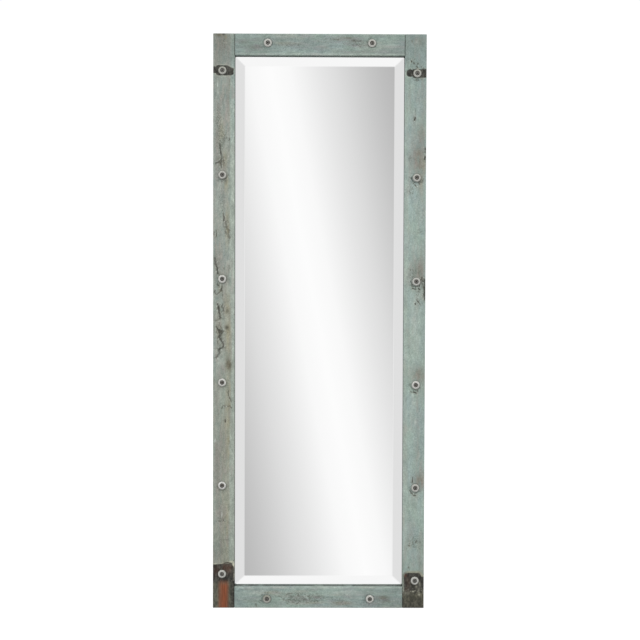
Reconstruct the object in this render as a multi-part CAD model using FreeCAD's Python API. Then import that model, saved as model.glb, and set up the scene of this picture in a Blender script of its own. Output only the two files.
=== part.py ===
import FreeCAD
import Part
import math
import os

os.makedirs("parts", exist_ok=True)
Vector = FreeCAD.Vector

# A tall dressing mirror: painted face boards screwed through cup washers onto a hidden
# frame of battens, with a bevelled glass held in the rebate between the two layers.
# Millimetres, +Z up, the glass faces -Y, the floor is at z = 0 and x = 0 is the middle.

# Face boards and the battens behind them
frame_width = 610.0
frame_height = 1651.0
board_width = 62.0
board_thickness = 20.0
board_edge_radius = 1.5
rebate_width = 11.0
batten_thickness = 15.0
batten_chamfer = 1.0

# Marks in the stiles where older iron fittings were let in
mark_depth = 0.8
mark_inner_margin = 5.5
band_height = {"left": 27.0, "right": 22.0}
band_end_radius = 9.0
band_end_share = 0.95
patch_top = {"left": 128.0, "right": 101.0}
patch_shoulder = {"left": 83.0, "right": 46.0}
patch_corner_radius = 9.5

# Screws and cup washers through the face boards
screw_inset = 26.5
first_screw_drop = {"left": 105.2, "right": 111.3}
foot_screw_height = {"left": 98.8, "right": 79.8}
screw_pitch = 297.6
least_screw_gap = 150.0
rail_screw_margin = 60.0
face_shank_radius = 2.5
face_head_radius = 5.8
face_head_land = 0.4
face_screw_stop = 3.0
hole_clearance = 0.15
washer_radius = 12.2
washer_crest_radius = 8.6
washer_hole_clearance = 0.5
washer_floor = 0.2
dome_shoulder = 0.2
dome_rise = 0.7
head_clearance = 0.1
head_set_down = 0.3

# Screws, washers and wires stand as many-sided forms, and their holes have the same sides
face_screw_sides = 12
back_screw_sides = 8
washer_sides = 20
ring_wire_sides = 6

# Bevelled glass, its cushion, its packers and the panel behind it
glass_thickness = 5.0
bevel_width = 37.0
bevel_drop = 2.2
glass_edge_gap = 2.0
tape_setback = 0.5
tape_clearance = 0.2
packer_length = 30.0
packer_share = 0.25
panel_thickness = 4.0
panel_gap = 1.0

# Offset clips that hold the panel in
clip_sheet = 1.2
clip_width = 14.0
clip_foot = 13.0
clip_reach = 12.0
clip_step_gap = 0.6
clip_step_run = 3.0
clip_end_inset = 150.0
clip_most_spacing = 640.0

# Pan-head screws used at the back
back_shank_radius = 1.9
back_head_radius = 3.8
back_head_height = 2.0
pan_flat = 0.7
pan_rim = 0.8
back_screw_stop = 3.5
corner_screw_stop = 8.0
corner_screw_inset = 12.0
corner_screw_far_inset = 19.0
tip_length = 3.0
tip_radius = 0.5

# Strap hangers with swinging rings
hanger_inset = 18.0
hanger_drop = 330.0
strap_sheet = 1.2
strap_width = 16.0
strap_screw_gap = 5.7
strap_screw_spacing = 18.0
strap_end_margin = 10.0
strap_end_radius = 5.0
ring_wire_radius = 2.0
ring_bore_clearance = 0.1
ring_side_gap = 0.5
ring_corner_radius = 4.0
ring_side_length = 2.0
ring_rest_gap = 0.3

# Rubber bumpers that meet the wall
bumper_radius = 10.0
bumper_top_radius = 8.6
bumper_height = 8.0
bumper_edge = 0.8
bumper_sides = 20

# Sizes that follow from the ones above
batten_width = board_width - rebate_width
bumper_inset = batten_width / 2
head_cone = face_head_radius - face_shank_radius
washer_height = head_set_down + face_head_land + head_cone + washer_floor
washer_hole_radius = face_shank_radius + washer_hole_clearance
face_screw_bite = batten_thickness - face_screw_stop
back_screw_bite = batten_thickness - back_screw_stop
corner_screw_bite = board_thickness - corner_screw_stop

# Planes along the depth, from the washers in front to the bumpers behind
total_depth = washer_height + board_thickness + batten_thickness + bumper_height
face_plane = washer_height - total_depth / 2
board_back = face_plane + board_thickness
batten_back = board_back + batten_thickness
panel_front = board_back + glass_thickness
panel_back = panel_front + panel_thickness

# Places across and up the frame
half_width = frame_width / 2
rail_length = frame_width - 2 * board_width
half_opening = half_width - board_width
half_rebate = half_width - batten_width
screw_line = half_width - screw_inset
half_glass = half_rebate - glass_edge_gap
glass_bottom = batten_width + glass_edge_gap
glass_top = frame_height - glass_bottom
rebate_top = frame_height - batten_width
glass_overlap = board_width - batten_width - glass_edge_gap
tape_width = glass_overlap - tape_setback
tape_thickness = bevel_drop * (1 - tape_width / bevel_width) - tape_clearance

# The ring hangs from the fold of its strap and rests with its bow against the strap
loop_radius = ring_wire_radius + ring_bore_clearance + strap_sheet
pivot_y = batten_back + loop_radius
strap_back = batten_back + 2 * strap_sheet
pivot_z = frame_height - hanger_drop
ring_half_bar = strap_width / 2 + ring_side_gap
ring_bow_radius = ring_half_bar + ring_corner_radius
ring_reach = ring_corner_radius + ring_side_length + ring_bow_radius
ring_lift = 2 * strap_sheet + ring_wire_radius + ring_rest_gap - loop_radius
ring_rest_angle = math.degrees(math.asin(ring_lift / ring_reach))
first_strap_screw = ring_reach + ring_wire_radius + back_head_radius + strap_screw_gap
strap_screw_drops = (first_strap_screw, first_strap_screw + strap_screw_spacing)
strap_length = strap_screw_drops[-1] + strap_end_margin

side_sign = {"left": -1, "right": 1}
same_place = 1e-4


def box(low, high):
    # a block between two opposite corners
    size = [b - a for a, b in zip(low, high)]
    return Part.makeBox(size[0], size[1], size[2], Vector(*low))


def flat_face(points):
    return Part.Face(Part.makePolygon(points + points[:1]))


def many_sided(radius, depth, sides):
    # the corners of a regular outline square to the Y axis, on a circle of that radius
    angles = [2 * math.pi * (n + 0.5) / sides for n in range(sides)]
    return [Vector(radius * math.cos(a), depth, radius * math.sin(a)) for a in angles]


def stacked(sections, sides):
    # a solid along the Y axis through outlines given as (radius, depth), front to back
    rows = [many_sided(radius, depth, sides) for radius, depth in sections]
    faces = [flat_face(rows[0]), flat_face(rows[-1])]
    for front, back in zip(rows, rows[1:]):
        for n in range(sides):
            faces.append(flat_face([front[n - 1], front[n], back[n], back[n - 1]]))
    return Part.Solid(Part.Shell(faces))


def face_bore(x, z, start, end):
    # a hole along the depth for a face screw
    radius = face_shank_radius + hole_clearance
    return moved(stacked([(radius, start), (radius, end)], face_screw_sides), x, 0, z)


def back_bore(x, z, start, end):
    # a hole along the depth for a screw driven from behind
    radius = back_shank_radius + hole_clearance
    return moved(stacked([(radius, start), (radius, end)], back_screw_sides), x, 0, z)


def moved(shape, x, y, z):
    copy = shape.copy()
    copy.translate(Vector(x, y, z))
    return copy


def backward(shape):
    # the same piece driven in from the back
    copy = shape.copy()
    copy.rotate(Vector(0, 0, 0), Vector(0, 0, 1), 180)
    return copy


def export(name, pieces):
    group = pieces if isinstance(pieces, list) else [pieces]
    shape = group[0] if len(group) == 1 else Part.makeCompound(group)
    shape.exportStep(f"parts/{name}.step")


def edges_where(shape, test):
    # the straight edges whose two ends both pass the test
    return [e for e in shape.Edges if len(e.Vertexes) == 2 and all(test(v.Point) for v in e.Vertexes)]


def near(a, b):
    return abs(a - b) < same_place


# Where the face screws stand
def stile_screws(side):
    top = frame_height - first_screw_drop[side]
    foot = foot_screw_height[side]
    steps = int((top - foot - least_screw_gap) // screw_pitch)
    x = side_sign[side] * screw_line
    # a washer drops into a mark that is wider than itself and bridges a narrower one
    top_sink = mark_depth if band_height[side] > 2 * washer_radius else 0.0
    places = [(x, top - screw_pitch * n, 0.0 if n else top_sink) for n in range(steps + 1)]
    return places + [(x, foot, mark_depth)]


def rail_screws(z):
    steps = int((rail_length - 2 * rail_screw_margin) // screw_pitch)
    return [(screw_pitch * (n - steps / 2), z, 0.0) for n in range(steps + 1)]


face_screw_places = {
    "left": stile_screws("left"),
    "right": stile_screws("right"),
    "top": rail_screws(frame_height - screw_inset),
    "bottom": rail_screws(screw_inset),
}


# Where the screws at the back stand
def corner_screw_places(side):
    places = []
    far_up = batten_width - corner_screw_inset
    offsets = ((corner_screw_inset, corner_screw_inset), (board_width - corner_screw_far_inset, far_up))
    for across, up in offsets:
        x = side_sign[side] * (half_width - across)
        places.append((x, up))
        places.append((x, frame_height - up))
    return places


def hanger_screw_places(side):
    x = side_sign[side] * (half_width - hanger_inset)
    return [(x, pivot_z - drop) for drop in strap_screw_drops]


def clip_places():
    # (x, z, turn about Y in degrees): the turn points each clip at the middle of the panel
    low = batten_width + clip_end_inset
    high = frame_height - low
    spans = max(1, math.ceil((high - low) / clip_most_spacing))
    places = []
    for n in range(spans + 1):
        z = low + (high - low) * n / spans
        places.append((-half_rebate, z, 0))
        places.append((half_rebate, z, 180))
    places.append((0.0, batten_width, -90))
    places.append((0.0, rebate_top, 90))
    return places


def clip_screw_place(x, z, turn):
    out = -clip_foot / 2
    angle = math.radians(turn)
    return (x + out * math.cos(angle), z - out * math.sin(angle))


# Face boards with eased arrises, screw holes and the marks of the old fittings
def eased_board(low_x, high_x, low_z, high_z):
    board = box((low_x, face_plane, low_z), (high_x, board_back, high_z))
    front = edges_where(board, lambda p: near(p.y, face_plane))
    return board.makeFillet(board_edge_radius, front)


def mark_outline(x_outer, x_inner, low_z, high_z, rounded):
    # a shallow slab from the outer edge inwards, its inner corners rounded
    slab = box(
        (min(x_outer, x_inner), face_plane - mark_depth, low_z),
        (max(x_outer, x_inner), face_plane + mark_depth, high_z),
    )
    for z, radius in rounded:
        slab = slab.makeFillet(radius, edges_where(slab, lambda p: near(p.x, x_inner) and near(p.z, z)))
    return slab


def stile_marks(side):
    sign = side_sign[side]
    outer = sign * half_width
    inner = sign * (half_width - board_width + mark_inner_margin)
    middle = frame_height - first_screw_drop[side]
    half_band = band_height[side] / 2
    low = middle - half_band
    high = middle + half_band
    end_radius = min(band_end_radius, band_end_share * half_band)
    band = mark_outline(outer, inner, low, high, [(low, end_radius), (high, end_radius)])
    top = patch_top[side]
    patch = mark_outline(outer, inner, 0.0, top, [(top, patch_corner_radius)])
    foot = mark_outline(outer, sign * half_opening, 0.0, patch_shoulder[side], [])
    return [band, patch, foot]


def stile(side):
    low_x, high_x = sorted((side_sign[side] * half_opening, side_sign[side] * half_width))
    board = eased_board(low_x, high_x, 0.0, frame_height)
    holes = [face_bore(x, z, face_plane, board_back) for x, z, sink in face_screw_places[side]]
    start = board_back - corner_screw_bite - hole_clearance
    for x, z in corner_screw_places(side):
        holes.append(back_bore(x, z, start, board_back))
    return board.cut(stile_marks(side) + holes)


def rail(place):
    low_z = frame_height - board_width if place == "top" else 0.0
    board = eased_board(-half_opening, half_opening, low_z, low_z + board_width)
    holes = [face_bore(x, z, face_plane, board_back) for x, z, sink in face_screw_places[place]]
    return board.cut(holes)


# Battens behind the boards, the long way round the corners from the boards so that each
# corner is lapped
def batten(low_x, high_x, low_z, high_z, front_holes, back_holes):
    bar = box((low_x, board_back, low_z), (high_x, batten_back, high_z))
    bar = bar.makeChamfer(batten_chamfer, edges_where(bar, lambda p: near(p.y, batten_back)))
    holes = []
    for x, z in front_holes:
        holes.append(face_bore(x, z, board_back, board_back + face_screw_bite + hole_clearance))
    for x, z, depth in back_holes:
        start = batten_back - min(depth + hole_clearance, batten_thickness)
        holes.append(back_bore(x, z, start, batten_back))
    return bar.cut(holes)


def clip_holes(test):
    at = [clip_screw_place(x, z, turn) for x, z, turn in clip_places() if test(x, z)]
    return [(x, z, back_screw_bite) for x, z in at]


def side_batten(side):
    sign = side_sign[side]
    low_x, high_x = sorted((sign * half_rebate, sign * half_width))
    front = [(x, z) for x, z, sink in face_screw_places[side]]
    back = [(x, z, back_screw_bite) for x, z in hanger_screw_places(side)]
    back = back + clip_holes(lambda x, z: near(x, sign * half_rebate))
    return batten(low_x, high_x, batten_width, rebate_top, front, back)


def cross_batten(place):
    low_z = rebate_top if place == "top" else 0.0
    edge_z = rebate_top if place == "top" else batten_width
    front = [(x, z) for x, z, sink in face_screw_places[place]]
    corners = corner_screw_places("left") + corner_screw_places("right")
    back = [(x, z, batten_thickness) for x, z in corners if (z > frame_height / 2) == (place == "top")]
    back = back + clip_holes(lambda x, z: near(x, 0.0) and near(z, edge_z))
    return batten(-half_width, half_width, low_z, low_z + batten_width, front, back)


# Cup washers and the countersunk screws in them
def cup_washer():
    seat_radius = face_head_radius + head_clearance
    seat_foot = head_set_down + face_head_land - washer_height
    shoulder = washer_radius - dome_shoulder * (washer_radius - washer_crest_radius)
    dome = stacked([
        (washer_crest_radius, -washer_height),
        (shoulder, -dome_rise * washer_height),
        (washer_radius, 0.0),
    ], washer_sides)
    cup = stacked([
        (seat_radius, -washer_height),
        (seat_radius, seat_foot),
        (washer_hole_radius, seat_foot + seat_radius - washer_hole_radius),
        (washer_hole_radius, 0.0),
    ], face_screw_sides)
    return dome.cut(cup)


def face_screw(sink):
    # the head is set down in the washer and the point bites into the batten
    top = head_set_down - washer_height
    end = board_thickness - sink + face_screw_bite
    return stacked([
        (face_head_radius, top),
        (face_head_radius, top + face_head_land),
        (face_shank_radius, top + face_head_land + head_cone),
        (face_shank_radius, end - tip_length),
        (tip_radius, end),
    ], face_screw_sides)


def back_screw(length):
    head = stacked([
        (pan_flat * back_head_radius, -back_head_height),
        (back_head_radius, -pan_rim),
        (back_head_radius, 0.0),
    ], back_screw_sides)
    shank = stacked([
        (back_shank_radius, 0.0),
        (back_shank_radius, length - tip_length),
        (tip_radius, length),
    ], back_screw_sides)
    return head.fuse(shank)


# Glass with a wide flat bevel, on packers, against a cushion of tape
def bevelled_glass():
    edge_plane = board_back + bevel_drop
    slab = box((-half_glass, edge_plane, glass_bottom), (half_glass, panel_front, glass_top))

    def outline(inset, plane):
        x = half_glass - inset
        low = glass_bottom + inset
        high = glass_top - inset
        places = ((-x, low), (x, low), (x, high), (-x, high))
        corners = [Vector(across, plane, up) for across, up in places]
        return Part.makePolygon(corners + corners[:1])

    cap = Part.makeLoft([outline(0.0, edge_plane), outline(bevel_width, board_back)], True, True)
    return slab.fuse(cap).removeSplitter()


def glazing_tape():
    # strips on the back of the boards, where the bevel comes up to them
    near_x = half_opening + tape_setback
    far_x = near_x + tape_width
    low = board_width - tape_setback
    top = frame_height - low
    back = board_back + tape_thickness
    strips = []
    for sign in (-1, 1):
        low_x, high_x = sorted((sign * near_x, sign * far_x))
        strips.append(box((low_x, board_back, low - tape_width), (high_x, back, top + tape_width)))
    strips.append(box((-near_x, board_back, low - tape_width), (near_x, back, low)))
    strips.append(box((-near_x, board_back, top), (near_x, back, top + tape_width)))
    return strips


def glass_packers():
    front = board_back + bevel_drop
    half = packer_length / 2
    blocks = []
    for sign in (-1, 1):
        x = sign * 2 * packer_share * half_glass
        blocks.append(box((x - half, front, batten_width), (x + half, panel_front, glass_bottom)))
        low_x, high_x = sorted((sign * half_glass, sign * half_rebate))
        for share in (packer_share, 1 - packer_share):
            z = glass_bottom + share * (glass_top - glass_bottom)
            blocks.append(box((low_x, front, z - half), (high_x, panel_front, z + half)))
    return blocks


def back_panel():
    x = half_rebate - panel_gap
    return box((-x, panel_front, batten_width), (x, panel_back, rebate_top - panel_gap))


def offset_clip():
    # a joggled strap: one foot on the batten, a sloping step, the other foot down on the panel
    step = batten_back - panel_back
    slope = math.atan2(step, clip_step_run)
    bend_shift = clip_sheet * math.tan(slope / 2)
    near_bend = clip_step_gap
    far_bend = clip_step_gap + clip_step_run
    outline = [
        (-clip_foot, 0.0), (near_bend, 0.0), (far_bend, -step), (clip_reach, -step),
        (clip_reach, clip_sheet - step), (far_bend + bend_shift, clip_sheet - step),
        (near_bend + bend_shift, clip_sheet), (-clip_foot, clip_sheet),
    ]
    points = [Vector(u, v, -clip_width / 2) for u, v in outline]
    strap = flat_face(points).extrude(Vector(0, 0, clip_width))
    return strap.cut(back_bore(-clip_foot / 2, 0.0, 0.0, clip_sheet))


def placed_clips():
    clips = []
    for x, z, turn in clip_places():
        clip = offset_clip()
        clip.rotate(Vector(0, 0, 0), Vector(0, 1, 0), turn)
        clips.append(moved(clip, x, batten_back, z))
    return clips


# Strap hangers and their rings
def hanger_strap(side):
    # a strap folded double round the straight side of the ring
    x = side_sign[side] * (half_width - hanger_inset)
    low_x = x - strap_width / 2
    high_x = x + strap_width / 2
    leaves = box((low_x, batten_back, pivot_z - strap_length), (high_x, strap_back, pivot_z))
    foot = edges_where(leaves, lambda p: near(p.z, pivot_z - strap_length))
    foot = [e for e in foot if near(e.Vertexes[0].X, e.Vertexes[1].X)]
    leaves = leaves.makeFillet(strap_end_radius, foot)
    start = Vector(low_x, pivot_y, pivot_z)
    loop = Part.makeCylinder(loop_radius, strap_width, start, Vector(1, 0, 0))
    eye = Part.makeCylinder(loop_radius - strap_sheet, strap_width, start, Vector(1, 0, 0))
    holes = [back_bore(hx, hz, batten_back, strap_back) for hx, hz in hanger_screw_places(side)]
    return leaves.fuse(loop).cut([eye] + holes).removeSplitter()


def wire_end(place, outward):
    # the section of the ring's wire, its flats square to the outward direction
    angles = [2 * math.pi * (n + 0.5) / ring_wire_sides for n in range(ring_wire_sides)]
    across = Vector(0, ring_wire_radius, 0)
    points = [place + outward * (ring_wire_radius * math.cos(a)) + across * math.sin(a) for a in angles]
    return flat_face(points)


def bent_wire(centre, outward, radius, turn):
    # wire bent about an axis along Y through the centre
    return wire_end(centre + outward * radius, outward).revolve(centre, Vector(0, 1, 0), turn)


def hanger_ring(side):
    # a D of wire: the bar runs through the strap and the bow hangs below it
    right = Vector(1, 0, 0)
    up = Vector(0, 0, 1)
    low = -(ring_corner_radius + ring_side_length)
    bar = wire_end(right * -ring_half_bar, up).extrude(right * (2 * ring_half_bar))
    pieces = [bent_wire(up * low, right, ring_bow_radius, 180)]
    for sign in (-1, 1):
        out = right * sign
        corner = out * ring_half_bar - up * ring_corner_radius
        pieces.append(bent_wire(corner, up, ring_corner_radius, 90 * sign))
        pieces.append(wire_end(out * ring_bow_radius + up * low, out).extrude(up * ring_side_length))
    ring = bar.fuse(pieces).removeSplitter()
    ring.rotate(Vector(0, 0, 0), Vector(1, 0, 0), ring_rest_angle)
    return moved(ring, side_sign[side] * (half_width - hanger_inset), pivot_y, pivot_z)


# Rubber bumpers on the corners of the battens
def wall_bumper():
    return stacked([
        (bumper_radius, 0.0),
        (bumper_top_radius, bumper_height - bumper_edge),
        (bumper_top_radius - bumper_edge, bumper_height),
    ], bumper_sides)


def wall_bumpers():
    pieces = []
    for sign in (-1, 1):
        for z in (bumper_inset, frame_height - bumper_inset):
            pieces.append(moved(wall_bumper(), sign * (half_width - bumper_inset), batten_back, z))
    return pieces


# Write every node
for side in ("left", "right"):
    export(f"{side}_stile_board", stile(side))
    export(f"{side}_batten", side_batten(side))
    export(f"hanger_strap_{side}", hanger_strap(side))
    export(f"hanger_ring_{side}", hanger_ring(side))
    hanger_screw = backward(back_screw(2 * strap_sheet + back_screw_bite))
    spots = hanger_screw_places(side)
    export(f"hanger_screws_{side}", [moved(hanger_screw, x, strap_back, z) for x, z in spots])
for place in ("top", "bottom"):
    export(f"{place}_rail_board", rail(place))
    export(f"{place}_batten", cross_batten(place))
for place, stations in face_screw_places.items():
    washers = [moved(cup_washer(), x, face_plane + sink, z) for x, z, sink in stations]
    screws = [moved(face_screw(sink), x, face_plane + sink, z) for x, z, sink in stations]
    export(f"cup_washers_{place}", washers)
    export(f"face_screws_{place}", screws)
export("mirror_glass", bevelled_glass())
export("glazing_tape", glazing_tape())
export("glass_packers", glass_packers())
export("back_panel", back_panel())
export("panel_clips", placed_clips())
clip_screw = backward(back_screw(clip_sheet + back_screw_bite))
clip_screw_spots = [clip_screw_place(*place) for place in clip_places()]
export("clip_screws", [moved(clip_screw, x, batten_back + clip_sheet, z) for x, z in clip_screw_spots])
corner_screw = backward(back_screw(batten_thickness + corner_screw_bite))
corner_spots = corner_screw_places("left") + corner_screw_places("right")
export("corner_screws", [moved(corner_screw, x, batten_back, z) for x, z in corner_spots])
export("wall_bumpers", wall_bumpers())
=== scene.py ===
import math
import bmesh
import bpy
import numpy as np
from mathutils import Matrix, Vector


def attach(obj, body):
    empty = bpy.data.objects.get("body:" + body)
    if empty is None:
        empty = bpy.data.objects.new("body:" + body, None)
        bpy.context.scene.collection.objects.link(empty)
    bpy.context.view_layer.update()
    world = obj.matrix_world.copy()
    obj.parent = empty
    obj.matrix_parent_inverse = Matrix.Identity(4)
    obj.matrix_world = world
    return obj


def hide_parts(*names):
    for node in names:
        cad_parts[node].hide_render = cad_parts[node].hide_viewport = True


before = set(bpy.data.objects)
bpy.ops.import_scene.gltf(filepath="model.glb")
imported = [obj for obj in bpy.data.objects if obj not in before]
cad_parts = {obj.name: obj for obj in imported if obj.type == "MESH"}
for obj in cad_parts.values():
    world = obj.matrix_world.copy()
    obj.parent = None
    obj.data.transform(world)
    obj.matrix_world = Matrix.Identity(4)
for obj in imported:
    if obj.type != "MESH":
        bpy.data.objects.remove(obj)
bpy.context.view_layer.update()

mm = 0.001
print("frame loaded:", len(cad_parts), "nodes")


def hexLinear(code):  # sRGB hex to linear red, green, blue and full alpha
    parts = [int(code[n:n + 2], 16) / 255 for n in (1, 3, 5)]
    return [p / 12.92 if p <= 0.04045 else ((p + 0.055) / 1.055) ** 2.4 for p in parts] + [1.0]


def addNode(tree, kind, settings=None, inputs=None, out=0):
    # adds a node, sets it up, fills or links its inputs, gives back one of its live outputs
    node = tree.nodes.new(kind)
    settings = dict(settings or {})
    stops = settings.pop("stops", [])  # places and hex colours along a colour ramp
    for key, value in settings.items():
        setattr(node, key, value)
    for n, (where, code) in enumerate(stops):
        element = node.color_ramp.elements[n] if n < 2 else node.color_ramp.elements.new(where)
        element.position = where
        element.color = hexLinear(code)
    for key, value in (inputs or {}).items():
        live = [s for s in node.inputs if s.enabled]
        socket = live[key] if isinstance(key, int) else next(s for s in live if s.name == key)
        if isinstance(value, bpy.types.NodeSocket):
            tree.links.new(value, socket)
        else:
            socket.default_value = value
    live = [s for s in node.outputs if s.enabled]
    return live[out] if live else node


def newMaterial(name, look, *values):
    # a material whose look function gives the inputs of its shader, from Object coordinates
    made = bpy.data.materials.new(name)
    made.use_nodes = True
    tree = made.node_tree
    tree.nodes.clear()
    coords = addNode(tree, "ShaderNodeTexCoord", None, None, 3)
    shader = addNode(tree, "ShaderNodeBsdfPrincipled", None, look(tree, coords, *values))
    addNode(tree, "ShaderNodeOutputMaterial", None, {"Surface": shader})
    return made


def eased(low, high, value):
    # rises from 0 at low to 1 at high, flat at both ends
    t = np.clip((value - low) / (high - low), 0, 1)
    return t * t * (3 - 2 * t)


def hills(u, v, seed):
    # smooth random hills from 0 to 1: each whole-number corner has its own height, eased between corners
    iu, iv = np.floor(u).astype(np.int64), np.floor(v).astype(np.int64)
    fu, fv = eased(0, 1, u - iu), eased(0, 1, v - iv)

    def corner(a, c):
        h = (a * 73856093) ^ (c * 19349663) ^ (seed * 83492791)
        h = ((h ^ (h >> 13)) * 1274126177) & 0xFFFFFFFF
        return ((h ^ (h >> 16)) & 0xFFFF) / 65535

    low = corner(iu, iv) * (1 - fu) + corner(iu + 1, iv) * fu
    high = corner(iu, iv + 1) * (1 - fu) + corner(iu + 1, iv + 1) * fu
    return low * (1 - fv) + high * fv


def roughHills(u, v, seed, layers=3):
    # hills on hills: each layer is twice as fine and half as high as the one before
    total = sum(hills(u * 2 ** n, v * 2 ** n, seed + 17 * n) / 2 ** n for n in range(layers))
    return total / sum(1 / 2 ** n for n in range(layers))


def meshFromGrids(name, grids, material, capEnds=False, attributes=None):
    # grids of points (solid, row, column, xyz), closed round the columns, with a face at each end if asked
    solids, count, around = grids.shape[:3]
    index = np.arange(solids * count * around).reshape(solids, count, around)
    turned = np.roll(index, -1, axis=2)
    quads = np.stack([index[:, :-1], turned[:, :-1], turned[:, 1:], index[:, 1:]], axis=-1).reshape(-1, 4)
    faces = quads.tolist()
    if capEnds:
        faces += index[:, 0, ::-1].tolist() + index[:, -1].tolist()
    mesh = bpy.data.meshes.new(name)
    mesh.from_pydata(grids.reshape(-1, 3).tolist(), [], faces)
    for key, values in (attributes or {}).items():
        layer = mesh.attributes.new(key, "FLOAT", "POINT")
        layer.data.foreach_set("value", values.astype(np.float32).ravel())

    # doubled points merge so that poles and seams close, faces turn outwards and shade smooth
    work = bmesh.new()
    work.from_mesh(mesh)
    bmesh.ops.remove_doubles(work, verts=work.verts, dist=1e-7)
    bmesh.ops.recalc_face_normals(work, faces=work.faces)
    work.to_mesh(mesh)
    work.free()
    mesh.polygons.foreach_set("use_smooth", np.ones(len(mesh.polygons), dtype=bool))
    mesh.materials.append(material)
    made = bpy.data.objects.new(name, mesh)
    bpy.context.scene.collection.objects.link(made)
    return made


def place(piece, body, node):
    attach(piece, body)
    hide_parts(node)


# weathered paint: several thin coats of grey-green distemper on reclaimed softwood, rubbed back by use
# to the eye: chalky, cloudy green-grey that greys along the grain, with dark checks and iron stains
paintLook = {
    "paint": "#98aaa0", "paintCool": "#97a8a4", "fresh": "#a4aea3", "worn": "#96988f", "tan": "#9b9882",
    "smudge": "#8e8984", "smudgeCool": "#858689", "stain": "#757262", "scuff": "#c6cec5", "fleck": "#62665d",
    # crackAndShade is the dark of checks, pits and painted shade; ridge is the pale of paint flakes and
    # painted highlights
    "crackAndShade": "#2f2e28", "ironDark": "#292825", "ironPale": "#5c5b54", "oliveDark": "#403f35",
    "olivePale": "#6e6b5a", "bare": "#94563a", "bareDark": "#734128", "ridge": "#c9c8b4",
    # across the grain, along the grain, detail; specks are about a pixel of the render
    "noises": {"streak": (3.0, 80, 5.0), "mottle": (9, 24, 7.0), "fleck": (2.1, 4.6, 3.0),
               "cloud": (60, 100, 6.0), "speck": (2.6, 2.6, 3.0), "crust": (7, 12, 5.0)},
    "noiseReach": (0.28, 0.72), "pitSpacing": 14,
    # what shows through a noise, as greys at two of its levels
    "shows": {"coats": ("cloud", (0.42, "#000000"), (0.6, "#ffffff")),
              "patchy": ("mottle", (0.36, "#303030"), (0.6, "#ffffff")),
              "scuffs": ("mottle", (0.6, "#000000"), (0.76, "#606060")),
              "cloudy": ("cloud", (0.5, "#000000"), (0.6, "#b0b0b0")),
              "crusty": ("crust", (0.43, "#000000"), (0.69, "#ffffff")),
              "ringed": ("streak", (0.42, "#ffffff"), (0.6, "#000000"))},
    "fleckHelp": 0.2, "speckContrast": 0.5, "shadeContrast": 0.4,
    # how far each board is rubbed back and clouded: the right stile has had the least wear
    "rubbed": {"left": 1.3, "right": 0.7, "rail": 1.3},
    "clouded": {"left": 0.62, "right": 0.42, "rail": 0.62},
    "relief": {"speck": 0.6, "crust": 0.8}, "reliefDepth": 0.7 * mm,
}
# crackAndShade holds checks and painted shade; ridge holds pale flakes and painted highlights
maskNames = ("wear", "fresh", "tan", "smudge", "stain", "pale", "fleck", "crackAndShade", "iron", "olive", "bare",
             "ridge", "shade")


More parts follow.
